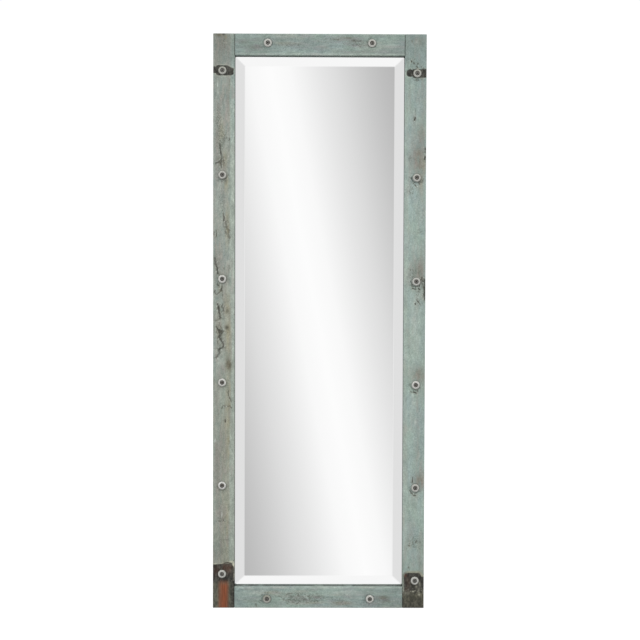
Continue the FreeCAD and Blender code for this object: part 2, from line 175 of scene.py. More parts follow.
def paintedBoard(tree, coords, which):
    look = paintLook
    noise = {}
    for key, (wide, long, detail) in look["noises"].items():
        a, c = 1 / (long * mm), 1 / (wide * mm)
        drawn = addNode(tree, "ShaderNodeMapping", None,
                        {"Vector": coords, "Scale": [a, c, c] if which == "rail" else [c, c, a]})
        noise[key] = addNode(tree, "ShaderNodeTexNoise", None,
                             {"Vector": drawn, "Scale": 1.0, "Detail": detail, "Roughness": 0.66})
    shows = {key: addNode(tree, "ShaderNodeValToRGB", {"stops": stops}, {0: noise[source]})
             for key, (source, *stops) in look["shows"].items()}
    masks = {key: addNode(tree, "ShaderNodeAttribute", {"attribute_name": key}, None, 2) for key in maskNames}
    mix = {"data_type": "RGBA"}
    tint = {"data_type": "RGBA", "blend_type": "MULTIPLY"}

    # two coats that differ a little, cloud by cloud
    colour = addNode(tree, "ShaderNodeMix", mix, {
        "Factor": shows["coats"], "A": hexLinear(look["paint"]), "B": hexLinear(look["paintCool"])})

    # rubbed back to grey where the wear mask meets the streaks and the mottle
    gain = look["rubbed"][which]
    rubbed = addNode(tree, "ShaderNodeMath", {"operation": "ADD"}, {0: noise["streak"], 1: noise["mottle"]})
    rubbed = addNode(tree, "ShaderNodeMath", {"operation": "MULTIPLY_ADD"}, {0: rubbed, 1: gain, 2: -gain})
    rubbed = addNode(tree, "ShaderNodeMath", {"operation": "ADD", "use_clamp": True},
                     {0: masks["wear"], 1: rubbed})

    # the smudges thin out with the mottle, and the flecks need the fleck mask to come through
    greasy = addNode(tree, "ShaderNodeMath", {"operation": "MULTIPLY", "use_clamp": True},
                     {0: masks["smudge"], 1: shows["patchy"]})
    flecks = addNode(tree, "ShaderNodeMath", {"operation": "MULTIPLY_ADD"},
                     {0: masks["fleck"], 1: look["fleckHelp"], 2: noise["fleck"]})
    flecks = addNode(tree, "ShaderNodeValToRGB",
                     {"stops": [(0.64, "#000000"), (0.76, "#d8d8d8")]}, {0: flecks})
    grease = "smudgeCool" if which == "rail" else "smudge"
    for factor, key in ((rubbed, "worn"), (masks["fresh"], "fresh"), (masks["tan"], "tan"), (greasy, grease),
                        (masks["stain"], "stain"), (shows["scuffs"], "scuff"), (masks["pale"], "scuff"),
                        (flecks, "fleck")):
        colour = addNode(tree, "ShaderNodeMix", mix,
                         {"Factor": factor, "A": colour, "B": hexLinear(look[key])})

    # light and dark about one: mottle, specks and the slow shade of the board
    for source, (low, high), contrast in ((noise["mottle"], look["noiseReach"], look["clouded"][which]),
                                          (noise["speck"], look["noiseReach"], look["speckContrast"]),
                                          (masks["shade"], (0.0, 1.0), look["shadeContrast"])):
        half = contrast / 2
        tone = addNode(tree, "ShaderNodeMapRange", None, {
            "Value": source, "From Min": low, "From Max": high, "To Min": 1 - half, "To Max": 1 + half})
        tone = addNode(tree, "ShaderNodeCombineColor", None, {0: tone, 1: tone, 2: tone})
        colour = addNode(tree, "ShaderNodeMix", tint, {"Factor": 1.0, "A": colour, "B": tone})

    # pin holes, only in some clouds, and checks and painted shade with edges broken by the specks
    pitted = addNode(tree, "ShaderNodeTexVoronoi", None,
                     {"Vector": coords, "Scale": 1 / (look["pitSpacing"] * mm)})
    pitted = addNode(tree, "ShaderNodeValToRGB",
                     {"stops": [(0.06, "#ffffff"), (0.13, "#000000")]}, {0: pitted})
    pitted = addNode(tree, "ShaderNodeMath", {"operation": "MULTIPLY"}, {0: pitted, 1: shows["cloudy"]})
    broken = addNode(tree, "ShaderNodeMapRange", None, {
        "Value": noise["speck"], "From Min": 0.36, "From Max": 0.6, "To Min": 0.5, "To Max": 1.25})
    broken = addNode(tree, "ShaderNodeMath", {"operation": "MULTIPLY", "use_clamp": True},
                     {0: broken, 1: masks["crackAndShade"]})

    # iron stain and bare wood, each mixed from two of its colours
    pairs = {}
    for key, factor, first, second in (("iron", "crusty", "ironDark", "ironPale"),
                                       ("olive", "crusty", "oliveDark", "olivePale"),
                                       ("wood", "ringed", "bare", "bareDark")):
        pairs[key] = addNode(tree, "ShaderNodeMix", mix, {
            "Factor": shows[factor], "A": hexLinear(look[first]), "B": hexLinear(look[second])})
    stain = addNode(tree, "ShaderNodeMix", mix,
                    {"Factor": masks["olive"], "A": pairs["iron"], "B": pairs["olive"]})
    dark = hexLinear(look["crackAndShade"])
    # dark over pits, checks and painted shade; then iron, bare wood, and pale flakes with painted highlights
    for factor, over in ((pitted, dark), (broken, dark), (masks["iron"], stain),
                         (masks["bare"], pairs["wood"]), (masks["ridge"], hexLinear(look["ridge"]))):
        colour = addNode(tree, "ShaderNodeMix", mix, {"Factor": factor, "A": colour, "B": over})

    rough = addNode(tree, "ShaderNodeMapRange", None,
                    {"Value": noise["mottle"], "To Min": 0.55, "To Max": 0.85})
    height = noise["streak"]
    for key, share in look["relief"].items():
        height = addNode(tree, "ShaderNodeMath", {"operation": "MULTIPLY_ADD"},
                         {0: noise[key], 1: share, 2: height})
    bump = addNode(tree, "ShaderNodeBump", None,
                   {"Strength": 0.45, "Distance": look["reliefDepth"], "Height": height})
    return {"Base Color": colour, "Roughness": rough, "Specular IOR Level": 0.25, "Normal": bump}


# one board: a rounded rectangle carried along its length, worked inwards by wear, checks and old marks
board = {
    "width": 62.0, "thickness": 20.0, "height": 1651.0, "frameHalf": 305.0, "face": -19.4, "arris": 1.5,
    "backArris": 0.6, "frontColumns": 48, "sideColumns": 8, "backColumns": 6, "arcColumns": 4, "step": 1.7,
    "endRows": 5, "endSteps": (9.6, 7.0, 4.0), "relief": 0.25, "arrisWear": 1.1, "markDepth": 0.8,
    "ridgeHeight": 0.15,
}
railLength = 2 * (board["frameHalf"] - board["width"])
boardSeed = {"left": 101, "right": 202, "top": 303, "bottom": 404}
washerSpot = {"inset": 26.5, "pitch": 297.6, "drop": {"left": 105.2, "right": 111.3},
              "foot": {"left": 98.8, "right": 79.8}, "stileRows": 5, "railHalf": 148.8, "seat": 12.2}


def sectionRing():
    # the outline of the section as (across, depth) points, and the inward direction at each of them
    w, t, a, k = board["width"], board["thickness"], board["arris"], board["backArris"]
    quarter = np.linspace(0, math.pi / 2, board["arcColumns"] + 2)[1:-1]

    def run(start, end, count, inward):
        share = np.linspace(0, 1, count)[:, None]
        return np.array(start) * (1 - share) + np.array(end) * share, np.tile(inward, (count, 1))

    def arc(centre, radius, first):
        angle = first + quarter
        out = np.stack([np.cos(angle), np.sin(angle)], axis=-1)
        return np.array(centre) + radius * out, -out

    parts = [
        run((a, 0), (w - a, 0), board["frontColumns"], (0, 1)),
        arc((w - a, a), a, -math.pi / 2),
        run((w, a), (w, t - k), board["sideColumns"], (-1, 0)),
        arc((w - k, t - k), k, 0),
        run((w - k, t), (k, t), board["backColumns"], (0, -1)),
        arc((k, t - k), k, math.pi / 2),
        run((0, t - k), (0, a), board["sideColumns"], (1, 0)),
        arc((a, a), a, math.pi),
    ]
    return np.concatenate([p[0] for p in parts]), np.concatenate([p[1] for p in parts])


def lengthRows(length):
    # stations along the board, and how far each is drawn in to round and close the ends
    r, step, caps = board["arris"], board["step"], np.array(board["endSteps"])
    turn = np.linspace(0, math.pi / 2, board["endRows"])
    edge, dip = r * (1 - np.cos(turn)), r * (1 - np.sin(turn))
    inner = np.arange(r + step, length - r - step / 2, step)
    along = np.concatenate([0 * caps, edge, inner, length - edge[::-1], 0 * caps + length])
    return along, np.concatenate([caps, dip, 0 * inner, dip[::-1], caps[::-1]])


def bells(s, u, spots):
    # soft ovals that fall off as a bell; each is at, across, half length, half width, amount
    return [amount * np.exp(-((s - at) / long) ** 2 - ((u - across) / wide) ** 2)
            for at, across, long, wide, amount in spots]


def blobs(s, u, spots, seed):
    # the strongest of the bells at each point, broken up by hills
    strongest = np.max([np.zeros_like(s)] + bells(s, u, spots), axis=0)
    return strongest * (0.4 + 1.2 * roughHills(s / 14, u / 6, seed))


# a drawn line: how far it wanders, where its edge fades in half widths, and the stain beside it
lineLook = {"wander": 5, "edge": (0.3, 1.7), "stain": 0.5, "stainReach": 5}


def strokes(s, u, paths, seed):
    # lines that wander, swell and fade, and the soft stain beside them
    # each path is its half width, its darkness, then points along and across
    lines, stains = np.zeros_like(s), np.zeros_like(s)
    swell = 0.3 + 1.4 * roughHills(s / 8, u / 8, seed, 2)
    s = s + lineLook["wander"] * (roughHills(s / 9, u / 6, seed + 1) - 0.5)
    u = u + lineLook["wander"] * (roughHills(s / 7, u / 6, seed + 2) - 0.5)
    low, high = lineLook["edge"]
    for wide, dark, *points in paths:
        far = np.full_like(s, 1e3)
        for (s0, u0), (s1, u1) in zip(points, points[1:]):
            share = ((s - s0) * (s1 - s0) + (u - u0) * (u1 - u0)) / ((s1 - s0) ** 2 + (u1 - u0) ** 2)
            share = np.clip(share, 0, 1)
            far = np.minimum(far, np.hypot(s - s0 - share * (s1 - s0), u - u0 - share * (u1 - u0)))
        half = wide * swell
        lines = np.maximum(lines, dark * (1 - eased(low * half, high * half, far)))
        beside = 1 - eased(0, lineLook["stainReach"] * half, far)
        stains = np.maximum(stains, lineLook["stain"] * dark * beside)
    return lines, stains


def slab(s, w, low, high, start, end, corner, rag):
    # signed distance from a rounded slab, less than 0 inside it, with a ragged edge
    du = np.abs(s - (low + high) / 2) - (high - low) / 2 + corner
    dw = np.abs(w - (start + end) / 2) - (end - start) / 2 + corner
    return np.hypot(np.maximum(du, 0), np.maximum(dw, 0)) + np.minimum(np.maximum(du, dw), 0) - corner + rag


# dirt and painted shadow about a washer, by the distance from its middle: a line at its rim, painted contact
# shadow and dirt; flecks of dirt; and an arc close below it, painted cast shadow and dirt
washerShadowAndGrime = {"rim": (12.4, 13.8), "rimAmount": 0.35, "flecks": (12.5, 14, 16, 25), "fleckSize": 2.8,
               "arc": 14.6, "arcHalf": 1.2, "arcAmount": 0.8, "down": (-0.94, 0.35)}


def washerDirtAndShadow(s, w, spots, amounts, seed):
    # the dark line goes all round each washer, and the flecks and the arc lie mostly below it
    look = washerShadowAndGrime
    start, full, thin, end = look["flecks"]
    flecks = eased(0.58, 0.74, hills(s / look["fleckSize"], w / look["fleckSize"], seed))
    dirtAndShade = np.zeros_like(s)
    for (a, c), amount in zip(spots, amounts):
        far = np.hypot(s - a, w - c) + 1e-6
        below = np.clip(0.55 + 0.55 * ((w - c) * look["down"][1] + (s - a) * look["down"][0]) / far, 0, 1)
        ring = eased(start, full, far) * (1 - eased(thin, end, far)) * flecks
        arc = np.exp(-((far - look["arc"]) / look["arcHalf"]) ** 2) * eased(0.5, 0.9, below)
        rim = look["rimAmount"] * (1 - eased(*look["rim"], far))
        dirtAndShade = np.maximum(dirtAndShade, np.maximum(rim, amount * np.maximum(ring * below, look["arcAmount"] * arc)))
    return dirtAndShade


def slowShade(s, u, length, tones, seed):
    # slow light and dark along the board, its own tones, darker towards its ends and dirty on the end grain
    slow = 0.55 + 0.5 * (roughHills(s / 150, u / 60, seed + 30, 2) - 0.5)
    ends = np.minimum(s, length - s)
    darker, crossShade = 0.3 * (1 - eased(0, 260, ends)), 0.5 * (1 - eased(0.2, 2.0, ends))
    return slow + sum(bells(s, u, tones)) - darker - crossShade


# what the years left on each board, in millimetres along it and across it: stiles run up from the floor and
# across from the outer edge, rails from the left end and up from the lower edge
leftStory = {
    "checks": [
        (1.2, 0.8, (1337, 20), (1325, 21)), (1.9, 0.9, (1325, 21), (1308, 22.5), (1294, 24)),
        (1.8, 0.7, (1294, 25), (1282, 22), (1270, 23)), (1.8, 0.65, (1292, 22), (1285, 15), (1280, 9)),
        (1.6, 0.65, (1300, 28), (1290, 30), (1282, 33)), (0.9, 0.9, (1138, 30), (1116, 30.5)),
        (2.4, 0.5, (1117, 36), (1104, 38), (1092, 42), (1080, 45), (1068, 47)),
        (0.8, 0.5, (1116, 30.5), (1098, 31)), (2.4, 0.5, (1099, 37), (1093, 42), (1088, 46)),
        (2.4, 0.5, (1086, 36), (1078, 41), (1070, 46)), (1.3, 0.8, (1086, 1.5), (1077, 2)),
        (1.0, 0.85, (1090, 9), (1074, 9.5)), (3.2, 0.6, (1010, 5), (1000, 7), (990, 9)),
        (2.3, 0.8, (992, 9), (980, 12), (966, 14)), (1.5, 0.5, (966, 14), (961, 20), (960, 26)),
        (1.3, 0.5, (983, 31), (979, 32)), (0.9, 0.5, (980, 45), (968, 46)),
        (1.1, 0.5, (990, 47), (980, 48)), (1.9, 0.65, (934, 13), (930, 17)),
        (2.4, 0.7, (928, 26), (920, 24), (916, 23)),
        (1.5, 0.55, (918, 6), (912, 4), (906, 9), (908, 14), (913, 20)), (0.7, 0.6, (918, 27), (892, 28)),
        (1.7, 0.75, (880, 12), (872, 14)),
        (2.6, 0.85, (872, 15), (862, 16), (852, 18), (846, 20), (838, 20)),
        (1.1, 0.6, (878, 28), (870, 25), (866, 30), (858, 32)),
        (1.1, 0.55, (872, 33), (862, 28), (852, 24)), (1.0, 0.5, (830, 6), (834, 13), (832, 21)),
        (1.0, 0.55, (828, 20), (818, 18), (812, 26)),
        (2.6, 0.75, (812, 10), (806, 14), (801, 26), (798, 30)),
        (3.2, 0.75, (806, 17), (798, 20), (790, 18)),
        (2.8, 0.75, (798, 28), (790, 22), (784, 19), (778, 22), (771, 24), (765, 29)),
        (3.0, 0.75, (765, 29), (757, 30), (752, 25), (747, 17)),
        (2.8, 0.6, (747, 17), (738, 18), (730, 13), (724, 9)),
        (0.9, 0.6, (790, 17), (782, 14), (772, 14), (764, 12)),
        (1.2, 0.75, (630, 44), (614, 45), (606, 49), (598, 54)),
        (1.1, 0.7, (578, 26), (586, 30), (584, 40), (586, 48), (580, 55)), (1.3, 0.9, (545, 35), (539, 35)),
        (0.9, 0.6, (254, 18), (252, 22)), (0.9, 0.6, (257, 29), (252, 33)),
        (1.1, 0.6, (1634, 31), (1628, 31)), (0.8, 0.3, (198, 20), (198, 42)),
        (1.2, 0.3, (1518, 47), (1490, 46)), (1.1, 0.55, (1351, 46), (1348, 46)),
        (1.0, 0.5, (1356, 38), (1353, 38)), (1.0, 0.6, (1362, 33), (1360, 33)),
        (0.9, 0.6, (1622, 32), (1612, 34)),
    ],
    "knots": [(801, 20, 8, 9, 0.8), (788, 20, 8, 5, 0.7), (863, 16, 10, 4, 0.6), (845, 20, 7, 3.5, 0.6),
              (752, 22, 7, 8, 0.5), (738, 17, 10, 5, 0.5), (1284, 22, 12, 9, 0.5), (1002, 7, 12, 4, 0.5),
              (920, 24, 6, 3.5, 0.5), (766, 27, 7, 5, 0.5), (1110, 40, 6, 4, 0.45), (1095, 40, 6, 5, 0.55),
              (811, 40, 6, 5, 0.55), (1649, 30, 3, 4, 0.5)],
    "stains": [(1648, 30, 5, 5, 1.0), (1647, 18, 6, 15, 1.0), (1502, 47, 14, 2.5, 0.5),
               (1440, 44, 60, 3, 0.25), (1284, 22, 15, 12, 0.8), (1100, 40, 20, 6, 0.4),
               (800, 20, 14, 11, 0.7), (745, 20, 22, 10, 0.4), (811, 40, 8, 7, 0.8), (704, 46, 18, 9, 1.2),
               (858, 42, 9, 7, 0.7), (985, 10, 24, 6, 0.4), (922, 22, 9, 7, 0.35), (655, 3, 14, 4, 0.35),
               (1230, 38, 6, 5, 0.4), (1625, 26, 20, 20, 0.3)],
    "smudges": [(1620, 24, 40, 26, 0.6), (1450, 40, 70, 6, 0.9), (1430, 16, 40, 9, 0.6),
                (1310, 10, 50, 9, 0.8), (1250, 10, 40, 9, 0.7), (990, 18, 34, 14, 0.8),
                (690, 26, 14, 9, 1.0), (820, 20, 9, 6, 0.7), (420, 12, 90, 8, 0.8), (270, 22, 40, 12, 0.8),
                (1195, 26, 20, 9, 0.5), (1040, 12, 24, 10, 0.4)],
    "tans": [(1105, 42, 55, 6, 0.8), (1222, 38, 22, 8, 0.8), (875, 42, 45, 10, 0.7),
             (790, 43, 70, 11, 0.75), (530, 44, 170, 11, 0.8), (230, 40, 120, 10, 0.7),
             (1640, 36, 5, 5, 1.0), (1370, 24, 40, 8, 0.7), (600, 48, 14, 5, 0.7), (1290, 34, 26, 6, 0.6),
             (922, 22, 12, 8, 0.6), (800, 20, 40, 10, 0.4)],
    "pales": [(1508, 13, 12, 1.2, 0.8), (1486, 14, 8, 1.0, 0.5), (486, 6, 6, 2.5, 0.8),
              (272, 26, 9, 1.2, 0.7), (718, 16, 22, 12, 0.1), (1180, 12, 60, 9, 0.2),
              (920, 40, 20, 6, 0.2)],
    "flecks": [(1400, 16, 60, 9, 1.2), (1355, 22, 36, 16, 1.4), (860, 30, 26, 10, 0.8),
               (1170, 26, 40, 12, 0.6), (780, 20, 34, 12, 0.8), (255, 25, 12, 10, 0.7),
               (940, 20, 24, 14, 0.6)],
    "tones": [(1610, 30, 50, 60, -0.7), (1480, 26, 40, 30, -0.25), (170, 25, 60, 40, -0.35),
              (330, 26, 160, 40, -0.1), (900, 57, 80, 6, 0.35), (1150, 57, 80, 6, -0.15),
              (1200, 16, 40, 16, -0.15), (420, 14, 140, 14, -0.2), (220, 58, 90, 8, -0.15)],
    "dirtAndShade": (0.2, 0.7, 0.3, 0.3, 0.3, 0.0),
    "handled": 0.55,
}
rightStory = {
    "checks": [
        (2.4, 1.0, (1575, 43), (1573, 43)), (1.2, 0.8, (1569, 38), (1567, 37)),
        (1.4, 0.8, (1559, 27), (1555, 27)), (1.2, 0.75, (1568, 25), (1565, 25)),
        (1.3, 0.75, (1559, 16), (1557, 14)), (1.1, 0.6, (1554, 8), (1552, 6)),
        (1.1, 0.6, (1521, 30), (1520, 27)), (1.1, 0.6, (1524, 16), (1523, 13)),
        (1.4, 0.9, (1412, 31.5), (1407, 34)), (0.8, 0.35, (1440, 31), (1420, 31.5)),
        (1.9, 0.95, (1327, 2.5), (1322, 2.5)), (1.8, 0.95, (1317, 2.5), (1314, 2.5)),
        (2.1, 0.95, (1301, 3), (1295, 3)), (3.2, 0.9, (950, 1.6), (893, 1.2)),
        (1.4, 0.8, (938, 41), (930, 40)), (1.6, 0.9, (926, 38), (922, 33), (921, 28)),
        (1.4, 0.9, (924, 19), (922, 15)), (1.6, 0.9, (957, 10), (950, 13)), (1.6, 0.9, (948, 8), (944, 6)),
        (1.0, 0.6, (918, 19), (914, 16)), (1.1, 0.6, (979, 43), (976, 42)),
        (1.1, 0.55, (970, 36), (968, 35)), (1.0, 0.55, (964, 44), (962, 43)),
        (1.7, 1.0, (881, 28.5), (879.5, 28)), (1.2, 0.85, (893, 24), (885, 20), (877, 15)),
        (1.3, 0.9, (629, 40), (626, 37)), (1.5, 0.95, (625, 31), (624, 27)),
        (1.2, 0.7, (343, 43), (336, 39), (331, 34)), (1.6, 0.9, (328, 30), (327, 24)),
        (1.5, 0.8, (380, 34.5), (362, 34.5)), (1.2, 0.7, (119, 44), (116, 44)),
        (1.0, 0.6, (1227, 38), (1222, 33)), (1.5, 0.95, (1221, 31), (1217, 28)),
        (0.8, 0.4, (1094, 16), (1092, 24)), (0.8, 0.4, (1086, 14), (1085, 24)),
        (1.2, 0.7, (196, 20), (190, 24)), (1.2, 0.7, (182, 46), (181, 41)),
    ],
    "knots": [(944, 8, 13, 5, 0.6)],
    "stains": [(1296, 18, 46, 17, 0.6), (1360, 14, 34, 11, 0.3), (974, 20, 34, 18, 0.45),
               (677, 20, 24, 19, 0.45), (370, 14, 22, 15, 0.5), (1630, 42, 5, 3, 0.4),
               (920, 3, 34, 2.5, 0.6), (362, 31, 8, 3, 0.4), (1420, 9, 30, 7, 0.15),
               (1630, 20, 14, 20, 0.15)],
    "smudges": [(1296, 23, 54, 20, 1.0), (1362, 16, 36, 14, 0.8), (975, 21, 40, 20, 1.0),
                (676, 22, 26, 21, 1.0), (368, 14, 24, 17, 1.0), (540, 20, 130, 5, 0.6),
                (1632, 28, 16, 24, 0.6), (1160, 6, 44, 6, 0.6), (470, 22, 40, 7, 0.5),
                (1420, 12, 30, 9, 0.4)],
    "tans": [(1230, 14, 26, 8, 0.5), (1270, 8, 30, 6, 0.5)],
    "pales": [(1630, 28, 5, 4, 0.5), (820, 30, 120, 16, 0.25), (600, 34, 50, 8, 0.2),
              (540, 28, 8, 4, 0.35)],
    "flecks": [(1560, 38, 26, 16, 0.7), (1296, 46, 12, 8, 1.0), (1206, 42, 16, 10, 0.9),
               (190, 26, 22, 22, 1.0), (900, 24, 26, 12, 0.6), (960, 30, 26, 18, 0.8),
               (1140, 20, 60, 16, 0.2), (1070, 34, 20, 10, 0.2)],
    "tones": [(1130, 34, 110, 60, 0.18), (540, 46, 140, 24, 0.4), (800, 56, 80, 8, 0.08),
              (1480, 30, 60, 60, -0.06), (150, 30, 40, 40, 0.1), (1600, 30, 50, 60, -0.12)],
    "dirtAndShade": (1.0, 1.0, 1.0, 0.8, 0.5, 0.0),
    "handled": 0.32,
}
topStory = {
    "checks": [(1.1, 0.6, (290, 45), (296, 45)), (1.2, 0.55, (337, 42), (344, 41)),
               (1.0, 0.5, (352, 41), (362, 41)), (0.9, 0.6, (356, 26), (359, 25)),
               (0.8, 0.35, (318, 52), (330, 49))],
    "knots": [(340, 43, 9, 3, 0.5), (354, 41, 6, 2, 0.4)],
    "stains": [(326, 50, 16, 3, 0.5), (342, 43, 12, 4, 0.5), (60, 23, 20, 6, 0.3), (24, 38, 14, 5, 0.25),
               (290, 46, 16, 3, 0.35)],
    "smudges": [(60, 24, 26, 9, 1.0), (24, 38, 18, 6, 0.9), (180, 30, 60, 8, 0.6), (330, 47, 40, 7, 1.0),
                (345, 30, 34, 7, 0.7), (130, 44, 40, 7, 0.5), (270, 48, 26, 6, 0.7), (300, 38, 50, 5, 0.5)],
    "tans": [(150, 34, 40, 6, 0.4)],
    "pales": [(120, 54, 60, 4, 0.25), (420, 26, 50, 12, 0.2)],
    "flecks": [(345, 34, 40, 12, 0.9), (150, 30, 60, 10, 0.5), (260, 44, 50, 8, 0.6)],
    "tones": [(60, 30, 120, 60, -0.36), (260, 30, 100, 60, -0.2)],
    "dirtAndShade": (0.3, 0.5),
    "handled": 0.50,
}
bottomStory = {
    "checks": [(0.8, 0.6, (180, 12), (188, 18)), (0.8, 0.6, (210, 36), (218, 30)),
               (0.8, 0.5, (150, 20), (160, 24)), (1.1, 0.45, (150, 38), (156, 42), (162, 40)),
               (1.1, 0.4, (160, 30), (168, 33)), (1.2, 0.5, (172, 24), (178, 20)),
               (1.1, 0.5, (182, 34), (187, 37)), (1.1, 0.5, (168, 18), (176, 15)),
               (1.0, 0.4, (196, 26), (205, 24)), (1.0, 0.4, (140, 26), (147, 22)),
               (1.2, 0.5, (187, 22), (191, 18)), (1.0, 0.5, (63, 12), (64, 4)),
               (1.0, 0.4, (128, 34), (136, 33)), (1.0, 0.4, (232, 20), (242, 22))],
    "knots": [],
    "stains": [(428, 30, 20, 6, 0.6), (440, 20, 14, 3, 0.3), (240, 32, 16, 4, 0.3), (190, 24, 24, 6, 0.25)],
    "smudges": [(428, 28, 34, 9, 1.0), (240, 30, 30, 6, 0.8), (190, 24, 40, 9, 0.8), (120, 14, 30, 6, 0.6),
                (310, 14, 30, 6, 0.8), (60, 30, 40, 5, 0.5), (360, 40, 30, 6, 0.5)],
    "tans": [(310, 14, 26, 5, 0.8), (110, 44, 26, 5, 0.6), (230, 16, 30, 4, 0.5)],
    "pales": [(330, 44, 60, 6, 0.3), (60, 44, 40, 6, 0.3)],
    "flecks": [(200, 28, 90, 20, 1.0), (300, 24, 50, 14, 0.8), (60, 20, 50, 12, 0.5),
               (430, 20, 30, 12, 0.7)],
    "tones": [],
    "dirtAndShade": (0.6, 0.5),
    "handled": 0.50,
}
stories = {"left": leftStory, "right": rightStory, "top": topStory, "bottom": bottomStory}

# marks of old ironwork on the stiles: a band with a narrower tail at the outer edge, and a plate at the foot
# a slab is low, high, start, end and corner; patches, splits and the painted shadow line are given as in the
# stories
marks = {
    "left": {"band": (1531.5, 1560.5, 9, 58.5, 6), "tail": (1538, 1557, -20, 14, 2), "cut": (1561, 38, 0.45),
             "plate": [(-200, 128, -40, 60.4, 14)], "lean": 0.07, "shoulder": 80, "thin": 0.08,
             "olive": (66, 82), "stripe": (16.5, 42.0), "stripeTop": 80.0,
             "bare": [(116, 42, 14, 14, 0.2), (108, 12, 16, 9, 0.1)],
             # the first split runs along the plate's top edge as painted shadow
             "splitsAndEdgeShadow": [(1.5, 0.95, (127, 26), (131, 38), (131.5, 48), (127, 57), (118, 60)),
                        (1.0, 0.7, (133, 57), (140, 63)), (1.2, 0.8, (112, 60), (100, 60))],
             "flakes": [(125, 59.5, 6, 2.4, 1.7), (134, 53, 2.2, 6, 0.9), (95, 61, 5, 1.5, 0.7)]},
    "right": {"band": (1529, 1551, 36, 57.5, 10), "tail": (1527.5, 1552, -20, 40, 3),
              "plate": [(-200, 102, 8, 57.5, 10), (-200, 91, -40, 57.5, 5)], "lean": 0.0, "shoulder": 46,
              "thin": 0.02, "olive": (36, 56), "crumbs": (50, 8),
              "bare": [(55, 50, 9, 7, 0.1), (74, 46, 20, 8, 0.09), (95, 53, 6, 5, 0.25)],
              "scrapes": [(43, 50, 6, 8, 0.3), (48, 31, 2, 4, 0.6), (39, 13, 3, 3, 0.6),
                          (72, 12, 7, 2.4, 0.45), (54, 15, 5, 3, 0.3), (62, 22, 3, 3, 0.3)]},
    # the ragged edge, how far iron goes round the outer side, where the glass side begins, ridges of paint
    # drawn pale as painted highlight
    "rag": 2.4, "edge": 0.7, "wrap": (4, 8), "inner": (46, 54), "ridge": (1.8, 1.0), "lip": (2.0, 1.1),
    "crumbTop": 82,
}


# what all boards share: marks that turn the arrises, flecks, crumbs beside checks, handling and wear
storyLook = {"wrap": 6, "flecks": 0.12, "crumbSize": 2.6, "crumbs": 0.7, "handled": (0.52, 0.72), "wear": 1.3,
             "wearFrom": 0.46}


def storyMasks(where, s, w, u, spots, length):
    # the masks that every board has; noise follows the way round the section so that it turns the corners
    story, seed, look = stories[where], boardSeed[where], storyLook
    masks = {name: np.zeros_like(s) for name in maskNames}
    front = eased(-look["wrap"], 0, u) * (1 - eased(board["width"], board["width"] + look["wrap"], u))
    for key in ("smudges", "tans", "pales", "stains"):
        masks[key[:-1]] = blobs(s, u, story[key], seed + len(key)) * front
    masks["fleck"] = look["flecks"] + blobs(s, u, story["flecks"], seed + 8) * front
    lines, besides = strokes(s, u, story["checks"], seed + 50)
    crumbly = 0.25 + 0.9 * eased(0.36, 0.6, roughHills(s / 6, u / 4, seed + 52, 2))
    knots = np.maximum(lines, blobs(s, u, story["knots"], seed + 51) * crumbly)
    # checks and knots, with dirt and painted shadow round the washers
    masks["crackAndShade"] = np.maximum(knots, washerDirtAndShadow(s, w, spots, story["dirtAndShade"], seed + 60)) * front
    masks["stain"] = np.maximum(masks["stain"], besides * front)
    crumbs = eased(0.62, 0.8, hills(s / look["crumbSize"], u / look["crumbSize"], seed + 53))
    crumbs = crumbs * eased(0.05, 0.3, besides) * (1 - lines)
    masks["pale"] = np.maximum(masks["pale"], look["crumbs"] * crumbs * front)
    handled = story["handled"] * eased(*look["handled"], roughHills(s / 40, u / 11, seed + 77, 4))
    masks["smudge"] = np.maximum(masks["smudge"], handled)
    masks["wear"] = look["wear"] * np.clip(roughHills(s / 64, u / 12, seed + 70, 4) - look["wearFrom"], 0, 1)
    masks["shade"] = slowShade(s, u, length, story["tones"], seed)
    return masks


def leftFoot(masks, s, w, inner, onSide, lip, seed):
    # bare wood down the left plate, splits round its top and a painted shadow along its top edge; gives back
    # its flakes and the painted highlight of its ridges of paint
    mark = marks["left"]
    start, end = mark["stripe"]
    fuzz = 6 * (roughHills(s / 60, w / 3.5, seed + 80) - 0.5)
    stripe = eased(start - 6, start + 6, w + fuzz) * (1 - eased(end - 6, end + 7, w + fuzz))
    stripe = stripe * (1 - eased(mark["stripeTop"] - 20, mark["stripeTop"] + 6, s + 2 * fuzz)) * onSide
    stripe = stripe * (0.7 + 0.3 * eased(20, 30, w + fuzz))
    masks["bare"] = np.maximum(stripe, blobs(s, w, mark["bare"], seed + 56))
    masks["olive"] = (1 - eased(*mark["olive"], s)) * (1.15 - inner)
    # splits, and a painted shadow along the plate's top edge
    masks["crackAndShade"] = np.maximum(masks["crackAndShade"], strokes(s, w, mark["splitsAndEdgeShadow"], seed + 53)[0])
    return np.maximum(blobs(s, w, mark["flakes"], seed + 54), 0.8 * lip * (1 - eased(24, 34, w)))


def rightFoot(masks, s, w, inner, plateFar, chips, lip, seed):
    # brown low down and on the paint beside the right plate; gives back its crumbs, scrapes and the painted
    # highlight of its ridges of paint
    mark = marks["right"]
    mottled = 0.2 * eased(0.42, 0.65, roughHills(s / 14, w / 14, seed + 92))
    masks["olive"] = (1 - eased(*mark["olive"], s)) * (0.4 + 0.35 * eased(0, 30, s)) + mottled
    masks["bare"] = blobs(s, w, mark["bare"], seed + 55)
    masks["tan"] = np.maximum(masks["tan"], (0.7 - 0.4 * inner) * (1 - eased(3, 9, plateFar)))
    at, half = mark["crumbs"]
    crumbs = np.exp(-((s - at) / half) ** 2) * eased(0.7, 0.85, hills(s / 3, w / 3, seed + 93))
    scraped = blobs(s, w, mark["scrapes"], seed + 94) * (0.3 + 0.7 * chips)
    return np.maximum(0.35 * crumbs, np.maximum(scraped, 0.15 * lip))


